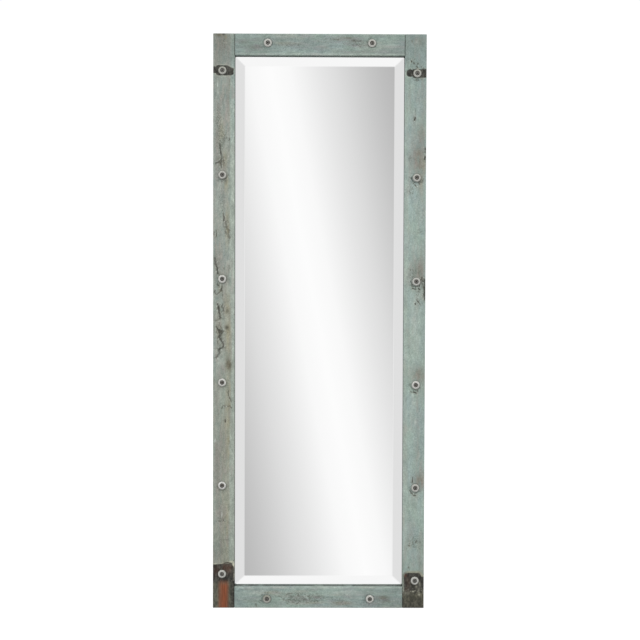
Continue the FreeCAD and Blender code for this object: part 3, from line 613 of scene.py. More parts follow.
def ironMarks(masks, side, s, w, u):
    # old ironwork: band, foot plate and all below its shoulder, with ridges of paint at their edges drawn
    # pale as painted highlight
    mark, seed = marks[side], boardSeed[side]
    rag = marks["rag"] * (roughHills(s / 6, w / 6, seed + 40) - 0.5)
    bandFar = np.minimum(slab(s, w, *mark["band"], rag), slab(s, w, *mark["tail"], rag))
    if side == "left":  # the upper inner corner of this band is cut on a slope
        high, across, slope = mark["cut"]
        bandFar = np.maximum(bandFar, 0.9 * (s - high + slope * (w - across)) + rag)
    lean = mark["lean"] * (w - board["width"] / 2)
    plateFar = np.min([slab(s - lean, w, *part, rag) for part in mark["plate"]], axis=0)
    shoulderFar = s - mark["shoulder"] + 3 * rag
    onSide = 1 - eased(*marks["wrap"], -u + 2 * rag)
    inner = eased(*marks["inner"], w)
    nearest = np.minimum(bandFar, np.minimum(plateFar, shoulderFar))
    iron = (1 - eased(-marks["edge"], marks["edge"], nearest)) * onSide
    chips = eased(0.34, 0.56, roughHills(s / 8, w / 8, seed + 52))
    # the ridges' pale lines are painted highlight
    out, half = marks["ridge"]
    ridge = 0.4 * np.exp(-((bandFar - out) / half) ** 2) * chips
    out, half = marks["lip"]
    lip = np.exp(-((plateFar - out) / half) ** 2) * (0.3 + 0.7 * chips) * eased(0, 8, shoulderFar)
    if side == "left":
        ridge = np.maximum(ridge, leftFoot(masks, s, w, inner, onSide, lip, seed))
    else:
        ridge = np.maximum(ridge, rightFoot(masks, s, w, inner, plateFar, chips, lip, seed))
        iron = np.maximum(iron, 0.5 * inner * (1 - eased(1, 7, plateFar)))  # rubbed thin beside the glass
    masks["olive"] = masks["olive"] * iron
    masks["iron"] = iron * (0.98 - mark["thin"] * masks["olive"])
    masks["ridge"] = ridge * np.maximum(1 - iron, s < marks["crumbTop"])
    masks["crackAndShade"] = masks["crackAndShade"] * (1 - iron)


# a strip of fresher paint beside the glass, above the foot, narrower about one height
# the left stile is worn and faded elsewhere; both stiles take painted shade on the inner edge, and dark
# joints
stileLook = {"strip": (46, 51), "stripFoot": (110, 150), "stripFades": (1250, 1450), "wander": 6,
             "narrow": (740, 150, 7), "fresh": {"left": 0.85, "right": 0.3}, "covers": 0.8, "worn": 0.55,
             "fadedUp": (300, 900), "fadedAcross": (18, 32), "shadeAndGrime": 0.4, "joint": 0.6}


def stileMasks(side, s, w, u, depth):
    seed, width, look = boardSeed[side], board["width"], stileLook
    masks = storyMasks(side, s, w, u, stileSpot[side], board["height"])
    at, long, far = look["narrow"]
    narrower = far * np.exp(-((s - at) / long) ** 2)
    edge = look["wander"] * (roughHills(s / 90, s * 0, seed + 71) - 0.5) - narrower
    strip = eased(*look["strip"], w + edge) * (1 - eased(width + 1, width + 4, u))
    strip = strip * eased(*look["stripFoot"], s)
    masks["fresh"] = strip * look["fresh"][side] * (1 - 0.7 * eased(*look["stripFades"], s))
    if side == "left":
        masks["wear"] = (look["worn"] + masks["wear"]) * (1 - look["covers"] * strip)
        faded = (1 - eased(*look["fadedUp"], s)) * (0.15 + 0.3 * eased(*look["fadedAcross"], w))
        masks["tan"] = np.maximum(masks["tan"], faded) * (1 - look["covers"] * strip)
    ironMarks(masks, side, s, w, u)

    # painted shade on the deeper part of the inner edge beside the glass, and dark down the joints against
    # the rails
    shadeAndGrime = look["shadeAndGrime"] * eased(3, 9, depth) * (u > width) * (u < width + board["thickness"])
    atRail = (s > board["height"] - width) | (s < width)
    joint = look["joint"] * eased(width - 2.0, width - 0.6, w) * atRail * (depth < 2)
    masks["crackAndShade"] = np.maximum(masks["crackAndShade"], np.maximum(shadeAndGrime, joint))
    return masks


# the rails: painted shade on the edge by the glass, dashes of painted shade behind it, a painted highlight on
# the lip and dirty ends
railLook = {"shade": {"top": 0.4, "bottom": 0.22}, "dash": 30, "dashFade": 0.45, "lipHalf": 2, "lip": 0.4,
            "ends": 0.45}


def railMasks(where, s, w, u, depth):
    look = railLook
    masks = storyMasks(where, s, w, u, railSpot[where], railLength)
    ends = np.minimum(s, railLength - s)
    if where == "top":  # the lower edge faces the glass, in its own shade
        inner = look["shade"][where] * eased(2, 6, depth) * (u < 0)
        # a painted highlight along the lower arris
        lip = np.exp(-((w - 4) / look["lipHalf"]) ** 2) * (depth < 1)
    else:  # the upper edge faces the glass: painted shade, light over its face and in dark dashes at its back corner
        shadeDashes = 0.35 + 0.65 * eased(0.3, 0.5, roughHills(s / look["dash"], s * 0, boardSeed[where] + 88))
        shadeDashes = (1.0 - look["dashFade"] * s / railLength) * shadeDashes * eased(11, 14, depth)
        inner = np.maximum(shadeDashes, look["shade"][where] * eased(1, 4, depth)) * (u > board["width"])
        # a painted highlight along the upper arris
        lip = np.exp(-((w - board["width"] + 3) / look["lipHalf"]) ** 2) * (depth < 1)
    masks["crackAndShade"] = np.maximum(masks["crackAndShade"], np.maximum(inner, look["ends"] * (1 - eased(0.2, 1.6, ends))))
    masks["pale"] = np.maximum(masks["pale"], look["lip"] * lip)
    return masks


def makeBoard(name, node, length, spots, masksFor, toWorld, material, seed):
    ring, inward = sectionRing()
    along, drawIn = lengthRows(length)
    s = np.repeat(along[:, None], len(ring), axis=1)
    half = np.array([board["width"], board["thickness"]]) / 2
    section = half + (ring[None] - half) * (1 - drawIn[:, None, None] / half)
    w, depth = section[..., 0], section[..., 1]
    side = inward[:, 0][None]
    u = w + depth * (np.sign(-side) * (np.abs(side) > 0.3))  # unfolds the sides beyond the face's edges
    front = np.clip(inward[:, 1], 0, 1)[None] * np.ones_like(s)
    onArris = (np.abs(inward[:, 0] * inward[:, 1]) * 2)[None] * (ring[:, 1] < board["thickness"] / 2)[None]
    body = (drawIn < board["arris"] * 0.5).astype(float)[:, None]
    masks = masksFor(s, w, u, depth)
    far = np.min([np.hypot(s - a, w - c) for a, c in spots], axis=0)
    clear = eased(washerSpot["seat"] - 1, washerSpot["seat"] + 4, far)

    # inward work: cloudy relief, fine grain, rubbed arrises with dents, checks and the old marks
    cloud = roughHills(s / 45, u / 9, seed, 4)
    grain = roughHills(s / 30, u / 1.6, seed + 3)
    dents = eased(0.55, 0.85, roughHills(s / 14, w * 0 + np.sign(w - board["width"] / 2), seed + 9))
    rubbed = 0.25 * roughHills(s / 60, w * 0 + 3, seed + 21) + 0.75 * dents
    worked = board["relief"] * (0.5 * cloud + 0.5 * grain) * (0.3 + 0.7 * clear)
    worked = worked + onArris * board["arrisWear"] * rubbed
    worked = worked + front * (masks["iron"] * board["markDepth"] + masks["crackAndShade"] * clear
                               - board["ridgeHeight"] * masks["ridge"])
    section = section + inward[None] * (worked * body)[..., None]
    masks["wear"] = masks["wear"] + 0.5 * onArris * dents
    masks = {key: np.clip(value, 0, 1) * np.ones_like(s) for key, value in masks.items()}
    points = toWorld(s, section[..., 0], section[..., 1]) * mm
    place(meshFromGrids(name, points[None], material, True, masks), "frame", node)


def stileSpots(side):
    spot = washerSpot
    top = board["height"] - spot["drop"][side]
    column = [(top - spot["pitch"] * n, spot["inset"]) for n in range(spot["stileRows"])]
    return column + [(spot["foot"][side], spot["inset"])]


def railSpots(across):
    middle, half = railLength / 2, washerSpot["railHalf"]
    return [(middle - half, across), (middle + half, across)]


stileSpot = {side: stileSpots(side) for side in ("left", "right")}
railSpot = {"top": railSpots(board["width"] - washerSpot["inset"]), "bottom": railSpots(washerSpot["inset"])}
boardPaint = {which: newMaterial("weathered_distemper_" + which, paintedBoard, which)
              for which in ("left", "right", "rail")}
for side, sign in (("left", -1), ("right", 1)):
    makeBoard(side + "_stile_weathered", side + "_stile_board", board["height"], stileSpot[side],
              lambda s, w, u, d: stileMasks(side, s, w, u, d),
              lambda s, w, d: np.stack([sign * (board["frameHalf"] - w), d + board["face"], s], axis=-1),
              boardPaint[side], boardSeed[side])
for where, base in (("top", board["height"] - board["width"]), ("bottom", 0.0)):
    makeBoard(where + "_rail_weathered", where + "_rail_board", railLength, railSpot[where],
              lambda s, w, u, d: railMasks(where, s, w, u, d),
              lambda s, w, d: np.stack([s - railLength / 2, d + board["face"], w + base], axis=-1),
              boardPaint["rail"], boardSeed[where])
print("boards made")


# cup washers: pressed steel, bright zinc gone satin; to the eye a pale ring, with painted shade and grime
# dark in its cup and at its rim
washer = {"radius": 12.2, "hole": 3.0, "height": 4.2, "crest": 8.6, "crestHalf": 1.2, "lip": 0.7, "seat": 5.9,
          "cup": 3.6, "skirt": 0.5, "around": 56, "rimShading": (11.2, 12.0), "rimAmount": 0.55,
          "cupShading": (5.9, 6.6), "tarnish": 4 * mm,
          "bright": "#e2e2de", "satin": "#d2d2cd", "dull": "#acaca6", "dirtAndShade": "#4a4843", "film": "#96978c"}
# how far a film of old paint dulls each washer, from the top or the left
washerFilm = {"left": (0.95, 0.6, 0.15, 0.1, 0.0, 0.4), "right": (0.9, 0.6, 0.5, 0.1, 0.5, 0.5),
              "top": (0.4, 0.6), "bottom": (1.15, 0.25)}
# wood screws: steel left to darken; to the eye a dull grey head, with painted shade and grime black in its
# cross and at its edge
faceScrew = {"radius": 5.8, "dome": 0.6, "shank": 2.5, "setDown": 0.1, "end": 32.0, "tip": 3.0, "cone": 3.3,
             "around": 56, "slotHalf": 0.85, "slotReach": 3.6, "slotDepth": 1.4, "slotShading": 1.6,
             "edgeShading": (3.9, 5.2), "rusting": 2.5 * mm, "steel": "#8b8b86", "dark": "#5a5a56",
             "shadeBlack": "#211f1e", "rust": "#6f5340"}


def brightZinc(tree, coords):
    tarnish = addNode(tree, "ShaderNodeTexNoise", None,
                      {"Vector": coords, "Scale": 1 / washer["tarnish"], "Detail": 4.0, "Roughness": 0.6})
    colour = addNode(tree, "ShaderNodeValToRGB", {"stops": [
        (0.32, washer["dull"]), (0.48, washer["satin"]), (0.62, washer["bright"])]}, {0: tarnish})
    patchy = addNode(tree, "ShaderNodeMapRange", None,
                     {"Value": tarnish, "From Min": 0.35, "From Max": 0.6, "To Min": 0.6, "To Max": 1.0})
    # a film of old paint, then painted shade with grime in the cup and at the rim
    for mask, over in (("film", washer["film"]), ("shadeAndGrime", washer["dirtAndShade"])):
        amount = addNode(tree, "ShaderNodeAttribute", {"attribute_name": mask}, None, 2)
        amount = addNode(tree, "ShaderNodeMath", {"operation": "MULTIPLY"}, {0: amount, 1: patchy})
        colour = addNode(tree, "ShaderNodeMix", {"data_type": "RGBA"},
                         {"Factor": amount, "A": colour, "B": hexLinear(over)})
    rough = addNode(tree, "ShaderNodeMapRange", None, {"Value": tarnish, "To Min": 0.45, "To Max": 0.3})
    return {"Base Color": colour, "Metallic": 0.9, "Roughness": rough}


def darkSteel(tree, coords):
    rust = addNode(tree, "ShaderNodeTexNoise", None,
                   {"Vector": coords, "Scale": 1 / faceScrew["rusting"], "Detail": 4.0, "Roughness": 0.65})
    colour = addNode(tree, "ShaderNodeValToRGB", {"stops": [
        (0.36, faceScrew["dark"]), (0.52, faceScrew["steel"]), (0.7, faceScrew["rust"])]}, {0: rust})
    # painted shade with grime in the cross and round the head
    shadeAndGrime = addNode(tree, "ShaderNodeAttribute", {"attribute_name": "shadeAndGrime"}, None, 2)
    colour = addNode(tree, "ShaderNodeMix", {"data_type": "RGBA"},
                     {"Factor": shadeAndGrime, "A": colour, "B": hexLinear(faceScrew["shadeBlack"])})
    return {"Base Color": colour, "Metallic": 0.8, "Roughness": 0.48}


def spin(profile, around):
    # (radius, depth) points turned about the Y axis; rows follow the profile
    angle = np.linspace(0, 2 * math.pi, around, endpoint=False)
    r, y = profile[:, :1], profile[:, 1:]
    return np.stack([r * np.cos(angle), y + 0 * angle, r * np.sin(angle)], axis=-1)


def washerRows():
    # skirt, a dome that is a quarter of an oval, a rounded lip, then the cup down to the hole
    size = washer
    t = np.linspace(0, math.pi / 2, 11)
    flank, rise = size["radius"] - size["crest"] + size["crestHalf"], size["height"] - size["skirt"]
    skirt = np.array([(size["radius"], 0.0), (size["radius"], -size["skirt"])])
    dome = np.stack([size["radius"] - flank * (1 - np.cos(t)), -size["skirt"] - rise * np.sin(t)], axis=-1)
    lip, hole = size["lip"], size["hole"]
    curl = np.stack([size["seat"] + lip * (1 - np.sin(t)), -size["height"] + lip * (1 - np.cos(t))], axis=-1)
    cup = np.array([(hole, -size["height"] + size["cup"]), (hole, 0.0), (size["radius"], 0.0)])
    rows = spin(np.concatenate([skirt, dome[1:], curl, cup]), size["around"])
    r = np.hypot(rows[..., 0], rows[..., 2])
    # painted shade down in the cup, and painted contact shadow with grime at the rim
    shadeAndGrime = np.maximum(size["rimAmount"] * eased(*size["rimShading"], r), 1 - eased(*size["cupShading"], r))
    return rows, shadeAndGrime


def crossWell(x, z, turn, half, reach, depth):
    # a cross-shaped well: each arm is deep at its middle and shallows towards its end
    c, si = math.cos(turn), math.sin(turn)

    def arm(a, d):
        return (1 - eased(half * 0.75, half * 1.1, np.abs(a))) * (1 - eased(reach * 0.25, reach, np.abs(d)))

    return depth * np.maximum(arm(c * x + si * z, c * z - si * x), arm(c * z - si * x, c * x + si * z))


def faceScrewRows(sink, turn):
    # a low domed head with its cross, then cone, shank and point
    size = faceScrew
    top = size["setDown"] - washer["height"]
    radii = np.linspace(0, size["radius"], 24)
    head = np.stack([radii, top + size["dome"] * (radii / size["radius"]) ** 2], axis=-1)
    under, end = top + size["dome"] + size["cone"], size["end"] - sink
    rest = np.array([(size["shank"], under), (size["shank"], end - size["tip"]), (0.0, end)])
    rows = spin(np.concatenate([head, rest]), size["around"])
    x, z = rows[..., 0], rows[..., 2]
    well = crossWell(x, z, turn, size["slotHalf"], size["slotReach"], size["slotDepth"])
    well[len(head):] = 0
    rows[..., 1] += well
    # painted shade with grime: black down the cross and round the head's edge
    crossShade = np.clip(well / size["slotDepth"] * size["slotShading"], 0, 1)
    return rows, np.maximum(crossShade, eased(*size["edgeShading"], np.hypot(x, z)))


def facePlaces(where):
    # (x, z, how deep the washer sits in an old mark)
    inset, mark = washerSpot["inset"], board["markDepth"]
    if where in stileSpot:
        x = (board["frameHalf"] - inset) * (-1 if where == "left" else 1)
        heights = [a for a, c in stileSpot[where]]
        sunk = [mark if where == "left" else 0.0] + [0.0] * (len(heights) - 2) + [mark]
        return [(x, a, d) for a, d in zip(heights, sunk)]
    z = board["height"] - inset if where == "top" else inset
    return [(-washerSpot["railHalf"], z, 0.0), (washerSpot["railHalf"], z, 0.0)]


washerZinc = newMaterial("bright_zinc_pressed_steel", brightZinc)
screwSteel = newMaterial("oxidised_steel_screw", darkSteel)
for where in ("left", "right", "top", "bottom"):
    cups, cupShading, cupFilm, screws, screwShading = [], [], [], [], []
    for n, (x, z, sink) in enumerate(facePlaces(where)):
        shift = np.array([x, board["face"] + sink, z])
        rows, shadeAndGrime = washerRows()
        cups.append((rows + shift) * mm)
        cupShading.append(shadeAndGrime)
        thicker = 0.75 + 0.35 * rows[..., 2] / washer["radius"]  # towards the top of each washer
        cupFilm.append(washerFilm[where][n] * thicker)
        rows, shadeAndGrime = faceScrewRows(sink, 0.5 + 1.9 * n + 0.7 * len(where))
        screws.append((rows + shift) * mm)
        screwShading.append(shadeAndGrime)
    masks = {"shadeAndGrime": np.array(cupShading), "film": np.array(cupFilm)}
    place(meshFromGrids("cup_washers_" + where + "_domed", np.array(cups), washerZinc, False, masks),
          "frame", "cup_washers_" + where)
    masks = {"shadeAndGrime": np.array(screwShading)}
    place(meshFromGrids("face_screws_" + where + "_slotted", np.array(screws), screwSteel, False, masks),
          "frame", "face_screws_" + where)
print("washers and face screws made")


# zinc plate: passivated bright zinc on mild steel; to the eye a cool satin grey with faint bluish cloud
zincLook = {"dull": "#9fa4a9", "grey": "#bcc0c3", "warm": "#cdcdc8", "cloud": 4 * mm}


def zincPlate(tree, coords):
    spangle = addNode(tree, "ShaderNodeTexNoise", None,
                      {"Vector": coords, "Scale": 1 / zincLook["cloud"], "Detail": 3.0, "Roughness": 0.55})
    colour = addNode(tree, "ShaderNodeValToRGB", {"stops": [
        (0.32, zincLook["dull"]), (0.52, zincLook["grey"]), (0.7, zincLook["warm"])]}, {0: spangle})
    rough = addNode(tree, "ShaderNodeMapRange", None, {"Value": spangle, "To Min": 0.24, "To Max": 0.44})
    return {"Base Color": colour, "Metallic": 1.0, "Roughness": rough}


zinc = newMaterial("zinc_plated_mild_steel", zincPlate)
panHead = {"radius": 3.8, "flat": 0.55, "height": 2.0, "rim": 0.8, "shank": 1.9, "tip": 3.0, "around": 40,
           "slotHalf": 0.6, "slotReach": 2.4, "slotDepth": 1.0}


def panScrewRows(length, turn):
    # a pan head: flat top rounded over as a quarter oval, a cross in it, a plain shank and a point along -Y
    size = panHead
    t = np.linspace(0, math.pi / 2, 12)
    flat = np.linspace(0, size["flat"] * size["radius"], 12)[:-1]
    top = np.stack([flat, np.full_like(flat, size["height"])], axis=-1)
    bulge, fall = size["flat"] + (1 - size["flat"]) * np.sin(t), (size["height"] - size["rim"]) * np.cos(t)
    over = np.stack([size["radius"] * bulge, size["rim"] + fall], axis=-1)
    shank = size["shank"]
    rest = np.array([(size["radius"], 0.0), (shank, 0.0), (shank, size["tip"] - length), (0.0, -length)])
    rows = spin(np.concatenate([top, over, rest]), size["around"])
    well = crossWell(rows[..., 0], rows[..., 2], turn, size["slotHalf"], size["slotReach"], size["slotDepth"])
    well[len(top) + len(over):] = 0
    rows[..., 1] -= well
    return rows


# places at the back, in millimetres: plane the heads bear on, length under the head, then (x, z)
fixings = {
    "clip_screws": (16.8, 12.7, [(-260.5, 201), (-260.5, 825.5), (-260.5, 1450), (260.5, 201), (260.5, 825.5),
                                 (260.5, 1450), (0, 44.5), (0, 1606.5)]),
    "corner_screws": (15.6, 27.0, [(-293, 12), (-262, 39), (293, 12), (262, 39), (-293, 1639), (-262, 1612),
                                   (293, 1639), (262, 1612)]),
    "hanger_screws_left": (18.0, 13.9, [(-287, 1291), (-287, 1273)]),
    "hanger_screws_right": (18.0, 13.9, [(287, 1291), (287, 1273)]),
}
for node, (plane, length, spots) in fixings.items():
    heads = [(panScrewRows(length, 0.4 + 1.3 * n) + np.array([x, plane, z])) * mm
             for n, (x, z) in enumerate(spots)]
    place(meshFromGrids(node + "_pan_head", np.array(heads), zinc), "frame", node)

hangerRing = {"x": 287.0, "pivotY": 18.9, "pivotZ": 1321.0, "halfBar": 8.5, "corner": 4.0, "side": 2.0,
              "wire": 2.0, "restAngle": 4.34, "around": 24}


def ringRows():
    # round wire carried along a closed D: bar, two corners, two short sides and a half-round bow
    size = hangerRing
    bow, low = size["halfBar"] + size["corner"], -size["corner"] - size["side"]
    t = np.linspace(0, math.pi / 2, 10)

    def bend(centre, radius, angle):
        out = np.stack([np.cos(angle), np.sin(angle)], axis=-1)
        return np.array(centre) + radius * out, out

    bends = [bend((size["halfBar"], -size["corner"]), size["corner"], t[::-1]),
             bend((0.0, low), bow, -np.linspace(0, math.pi, 40)),
             bend((-size["halfBar"], -size["corner"]), size["corner"], math.pi - t),
             bend((size["halfBar"], -size["corner"]), size["corner"], t[-1:])]
    path, out = (np.concatenate([part[n] for part in bends]) for n in (0, 1))
    angle = np.linspace(0, 2 * math.pi, size["around"], endpoint=False)
    flat = path[:, None] + size["wire"] * np.cos(angle)[None, :, None] * out[:, None]
    y, z = size["wire"] * np.sin(angle)[None] + 0 * flat[..., 0], flat[..., 1]
    c, si = math.cos(math.radians(size["restAngle"])), math.sin(math.radians(size["restAngle"]))
    return np.stack([flat[..., 0], y * c - z * si, y * si + z * c], axis=-1)


for side, sign in (("left", -1), ("right", 1)):
    rows = (ringRows() + np.array([sign * hangerRing["x"], hangerRing["pivotY"], hangerRing["pivotZ"]])) * mm
    place(meshFromGrids("hanger_ring_" + side + "_wire", rows[None], zinc),
          side + "_ring", "hanger_ring_" + side)
print("back hardware made")


# silvered glass: float glass with a ground and polished bevel; to the eye a clean, faintly cool mirror
# the silver is behind the glass, so the bevel bends a reflection inwards, by its slope times the index less
# one, and a thin dark line shows beside the boards, where they shade it
glass = {"index": 1.52, "clear": "#f8f8f8", "shaded": "#3c413f", "line": 0.6 * mm, "haze": 180 * mm,
         "hazeRough": 0.02}


def silveredGlass(tree, coords):
    slope = addNode(tree, "ShaderNodeNewGeometry", None, None, 3)
    bend = 1 - glass["index"]
    bent = addNode(tree, "ShaderNodeVectorMath", {"operation": "MULTIPLY"}, {0: slope, 1: (bend, 1.0, bend)})
    bent = addNode(tree, "ShaderNodeVectorMath", {"operation": "NORMALIZE"}, {0: bent})
    haze = addNode(tree, "ShaderNodeTexNoise", None,
                   {"Vector": coords, "Scale": 1 / glass["haze"], "Detail": 2.0, "Roughness": 0.5})
    rough = addNode(tree, "ShaderNodeMapRange", None,
                    {"Value": haze, "To Min": 0.0, "To Max": glass["hazeRough"]})

    # how near to the opening's edge: the larger of the ways across and up from its middle, less half its size
    middle = board["height"] / 2 * mm
    near = []
    for n, centre, half in ((0, 0.0, board["frameHalf"] * mm), (2, middle, middle)):
        opening = half - board["width"] * mm
        way = addNode(tree, "ShaderNodeSeparateXYZ", None, {"Vector": coords}, n)
        way = addNode(tree, "ShaderNodeMath", {"operation": "SUBTRACT"}, {0: way, 1: centre})
        way = addNode(tree, "ShaderNodeMath", {"operation": "ABSOLUTE"}, {0: way})
        near.append(addNode(tree, "ShaderNodeMath", {"operation": "SUBTRACT"}, {0: way, 1: opening}))
    near = addNode(tree, "ShaderNodeMath", {"operation": "MAXIMUM"}, {0: near[0], 1: near[1]})
    line = addNode(tree, "ShaderNodeMapRange", None,
                   {"Value": near, "From Min": -1.3 * glass["line"], "From Max": -0.7 * glass["line"]})
    colour = addNode(tree, "ShaderNodeMix", {"data_type": "RGBA"},
                     {"Factor": line, "A": hexLinear(glass["clear"]), "B": hexLinear(glass["shaded"])})
    return {"Base Color": colour, "Metallic": 1.0, "Roughness": rough, "Normal": bent}


# rubber and foam: matt black, greyed by bloom in a fine grain
def blackRubber(tree, coords, dark, pale, grit):
    bloom = addNode(tree, "ShaderNodeTexNoise", None,
                    {"Vector": coords, "Scale": 1 / grit, "Detail": 4.0, "Roughness": 0.65})
    colour = addNode(tree, "ShaderNodeValToRGB", {"stops": [(0.35, dark), (0.7, pale)]}, {0: bloom})
    bump = addNode(tree, "ShaderNodeBump", None, {"Strength": 0.3, "Distance": 0.2 * mm, "Height": bloom})
    return {"Base Color": colour, "Roughness": 0.8, "Specular IOR Level": 0.3, "Normal": bump}


# planed pine: softwood off the planer, unfinished; to the eye warm straw bands with darker late wood
pineLook = {"pale": "#cfb48b", "mid": "#c19f71", "dark": "#a77f53", "ring": 7 * mm, "wave": 260 * mm,
            "pore": 0.9 * mm}


def planedPine(tree, coords, grain):
    look = pineLook
    long, ring, pore = 1 / look["wave"], 1 / look["ring"], 1 / look["pore"]
    upright = grain == "upright"
    drawn = addNode(tree, "ShaderNodeMapping", None, {
        "Vector": coords, "Scale": [ring, ring * 0.6, long] if upright else [long, ring * 0.6, ring]})
    fine = addNode(tree, "ShaderNodeMapping", None, {
        "Vector": coords, "Scale": [pore, pore, long * 4] if upright else [long * 4, pore, pore]})
    bands = addNode(tree, "ShaderNodeTexNoise", None,
                    {"Vector": drawn, "Scale": 1.0, "Detail": 3.0, "Roughness": 0.5, "Distortion": 0.6})
    pores = addNode(tree, "ShaderNodeTexNoise", None, {"Vector": fine, "Scale": 1.0, "Detail": 2.0})
    colour = addNode(tree, "ShaderNodeValToRGB", {"stops": [
        (0.36, look["dark"]), (0.48, look["mid"]), (0.6, look["pale"])]}, {0: bands})
    tone = addNode(tree, "ShaderNodeValToRGB", {"stops": [(0.3, "#d8d0c4"), (0.55, "#ffffff")]}, {0: pores})
    colour = addNode(tree, "ShaderNodeMix", {"data_type": "RGBA", "blend_type": "MULTIPLY"},
                     {"Factor": 0.7, "A": colour, "B": tone})
    bump = addNode(tree, "ShaderNodeBump", None, {"Strength": 0.25, "Distance": 0.3 * mm, "Height": pores})
    return {"Base Color": colour, "Roughness": 0.62, "Normal": bump}


# hardboard: pressed wood fibre, smooth side out; to the eye a warm brown with a fine fibrous fleck
hardboardLook = {"dark": "#5f4228", "mid": "#7d5a38", "pale": "#937049", "fibre": 3 * mm, "cloud": 120 * mm}


def hardboard(tree, coords):
    look = hardboardLook
    fibre = addNode(tree, "ShaderNodeTexNoise", None,
                    {"Vector": coords, "Scale": 1 / look["fibre"], "Detail": 6.0, "Roughness": 0.75})
    cloud = addNode(tree, "ShaderNodeTexNoise", None,
                    {"Vector": coords, "Scale": 1 / look["cloud"], "Detail": 3.0, "Roughness": 0.5})
    colour = addNode(tree, "ShaderNodeValToRGB", {"stops": [
        (0.3, look["dark"]), (0.5, look["mid"]), (0.7, look["pale"])]}, {0: fibre})
    tone = addNode(tree, "ShaderNodeValToRGB", {"stops": [(0.35, "#ececec"), (0.65, "#ffffff")]}, {0: cloud})
    colour = addNode(tree, "ShaderNodeMix", {"data_type": "RGBA", "blend_type": "MULTIPLY"},
                     {"Factor": 1.0, "A": colour, "B": tone})
    return {"Base Color": colour, "Roughness": 0.55}


bumper = {"radius": 10.0, "top": 8.6, "height": 8.0, "edge": 1.2, "dimple": 0.8, "dimpleEdge": (1.5, 4.5),
          "plane": 15.6, "around": 48,
          "spots": [(-279.5, 25.5), (279.5, 25.5), (-279.5, 1625.5), (279.5, 1625.5)]}


def bumperRows():
    # a short cone rounded over at its top, with a shallow dimple in the middle
    size = bumper
    t = np.linspace(0, math.pi / 2, 8)
    foot = np.array([(0.0, 0.0), (size["radius"], 0.0)])
    edge, height = size["edge"], size["height"]
    over = np.stack([size["top"] - edge * (1 - np.cos(t)), height - edge * (1 - np.sin(t))], axis=-1)
    radii = np.linspace(size["top"] - edge, 0, 8)[1:]
    dip = size["dimple"] * (1 - eased(*size["dimpleEdge"], radii))
    dimple = np.stack([radii, height - dip], axis=-1)
    return spin(np.concatenate([foot, over, dimple]), size["around"])


rubber = newMaterial("moulded_rubber", blackRubber, "#262627", "#3a3a3a", 1.2 * mm)
pads = [(bumperRows() + np.array([x, bumper["plane"], z])) * mm for x, z in bumper["spots"]]
place(meshFromGrids("wall_bumpers_moulded", np.array(pads), rubber), "frame", "wall_bumpers")

upright = newMaterial("planed_pine_upright", planedPine, "upright")
level = newMaterial("planed_pine_level", planedPine, "level")
finishes = {
    "mirror_glass": newMaterial("silvered_float_glass", silveredGlass),
    "glazing_tape": newMaterial("closed_cell_foam_tape", blackRubber, "#1b1b1c", "#2b2b2c", 1.5 * mm),
    "glass_packers": newMaterial("rubber_packer", blackRubber, "#202021", "#323232", 2.0 * mm),
    "back_panel": newMaterial("pressed_hardboard", hardboard),
    "left_batten": upright, "right_batten": upright, "top_batten": level, "bottom_batten": level,
    "panel_clips": zinc, "hanger_strap_left": zinc, "hanger_strap_right": zinc,
}
for node, finish in finishes.items():
    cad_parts[node].data.materials.clear()
    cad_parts[node].data.materials.append(finish)
print("finishes set")


# the studio: a white room, a pale floor and a graded card in front of the glass for it to reflect
studio = {
    "lightFrom": (-0.7, 0.9), "lowLight": 0.55, "highLight": 1.2, "roomSeen": 1.03,
    "floorHalf": 30, "floorLight": 0.3, "floorSeen": 0.88,
    "cardFar": 5.0, "cardMiddle": 0.04, "cardHeight": 0.65, "cardSize": (4.4, 6.4), "cardReach": (0.78, 1.95),
    "bandSlant": 0.1942, "bandShift": 0.16, "sheetPower": 1.04, "sideGlow": "#e2e2e2", "endGlow": "#f9f9f9",
    "keyPower": 60, "keySize": (2.4, 1.8), "keyAt": (-2.4, -3.2, 3.4), "keyAim": (0, 0, 0.8),
    "eye": (-0.0315, -4.0, 0.9634), "yaw": 0.487, "pitch": 1.869, "roll": 0.180, "lens": 77.97, "sensor": 36,
}
scene = bpy.context.scene
scene.view_settings.view_transform = "Standard"
world = bpy.data.worlds.new("white_room")
world.use_nodes = True
scene.world = world
tree = world.node_tree
tree.nodes.clear()
seen = addNode(tree, "ShaderNodeLightPath")
aim = addNode(tree, "ShaderNodeSeparateXYZ", None,
              {"Vector": addNode(tree, "ShaderNodeTexCoord", None, None, 0)}, 2)
low, high = studio["lightFrom"]
glow = addNode(tree, "ShaderNodeMapRange", None, {
    "Value": aim, "From Min": low, "From Max": high, "To Min": studio["lowLight"],
    "To Max": studio["highLight"]})
glow = addNode(tree, "ShaderNodeMix", {"data_type": "FLOAT"},
               {"Factor": seen, "A": glow, "B": studio["roomSeen"]})
sky = addNode(tree, "ShaderNodeBackground", None, {"Color": (1, 1, 1, 1), "Strength": glow})
addNode(tree, "ShaderNodeOutputWorld", None, {"Surface": sky})


def paleFloor(tree, coords):
    # white to the camera, dimmer as a light so that the undersides stay dark
    seen = addNode(tree, "ShaderNodeLightPath")
    glow = addNode(tree, "ShaderNodeMapRange", None,
                   {"Value": seen, "To Min": studio["floorLight"], "To Max": studio["floorSeen"]})
    return {"Base Color": (0.2, 0.2, 0.2, 1), "Specular IOR Level": 0.0, "Roughness": 1.0,
            "Emission Color": (1, 1, 1, 1), "Emission Strength": glow}


# what the sheets share: they give light and take none
unlit = {"Base Color": (0, 0, 0, 1), "Specular IOR Level": 0.0, "Emission Strength": studio["sheetPower"]}


def glowSheet(tree, coords, glow):
    return {**unlit, "Emission Color": hexLinear(glow)}


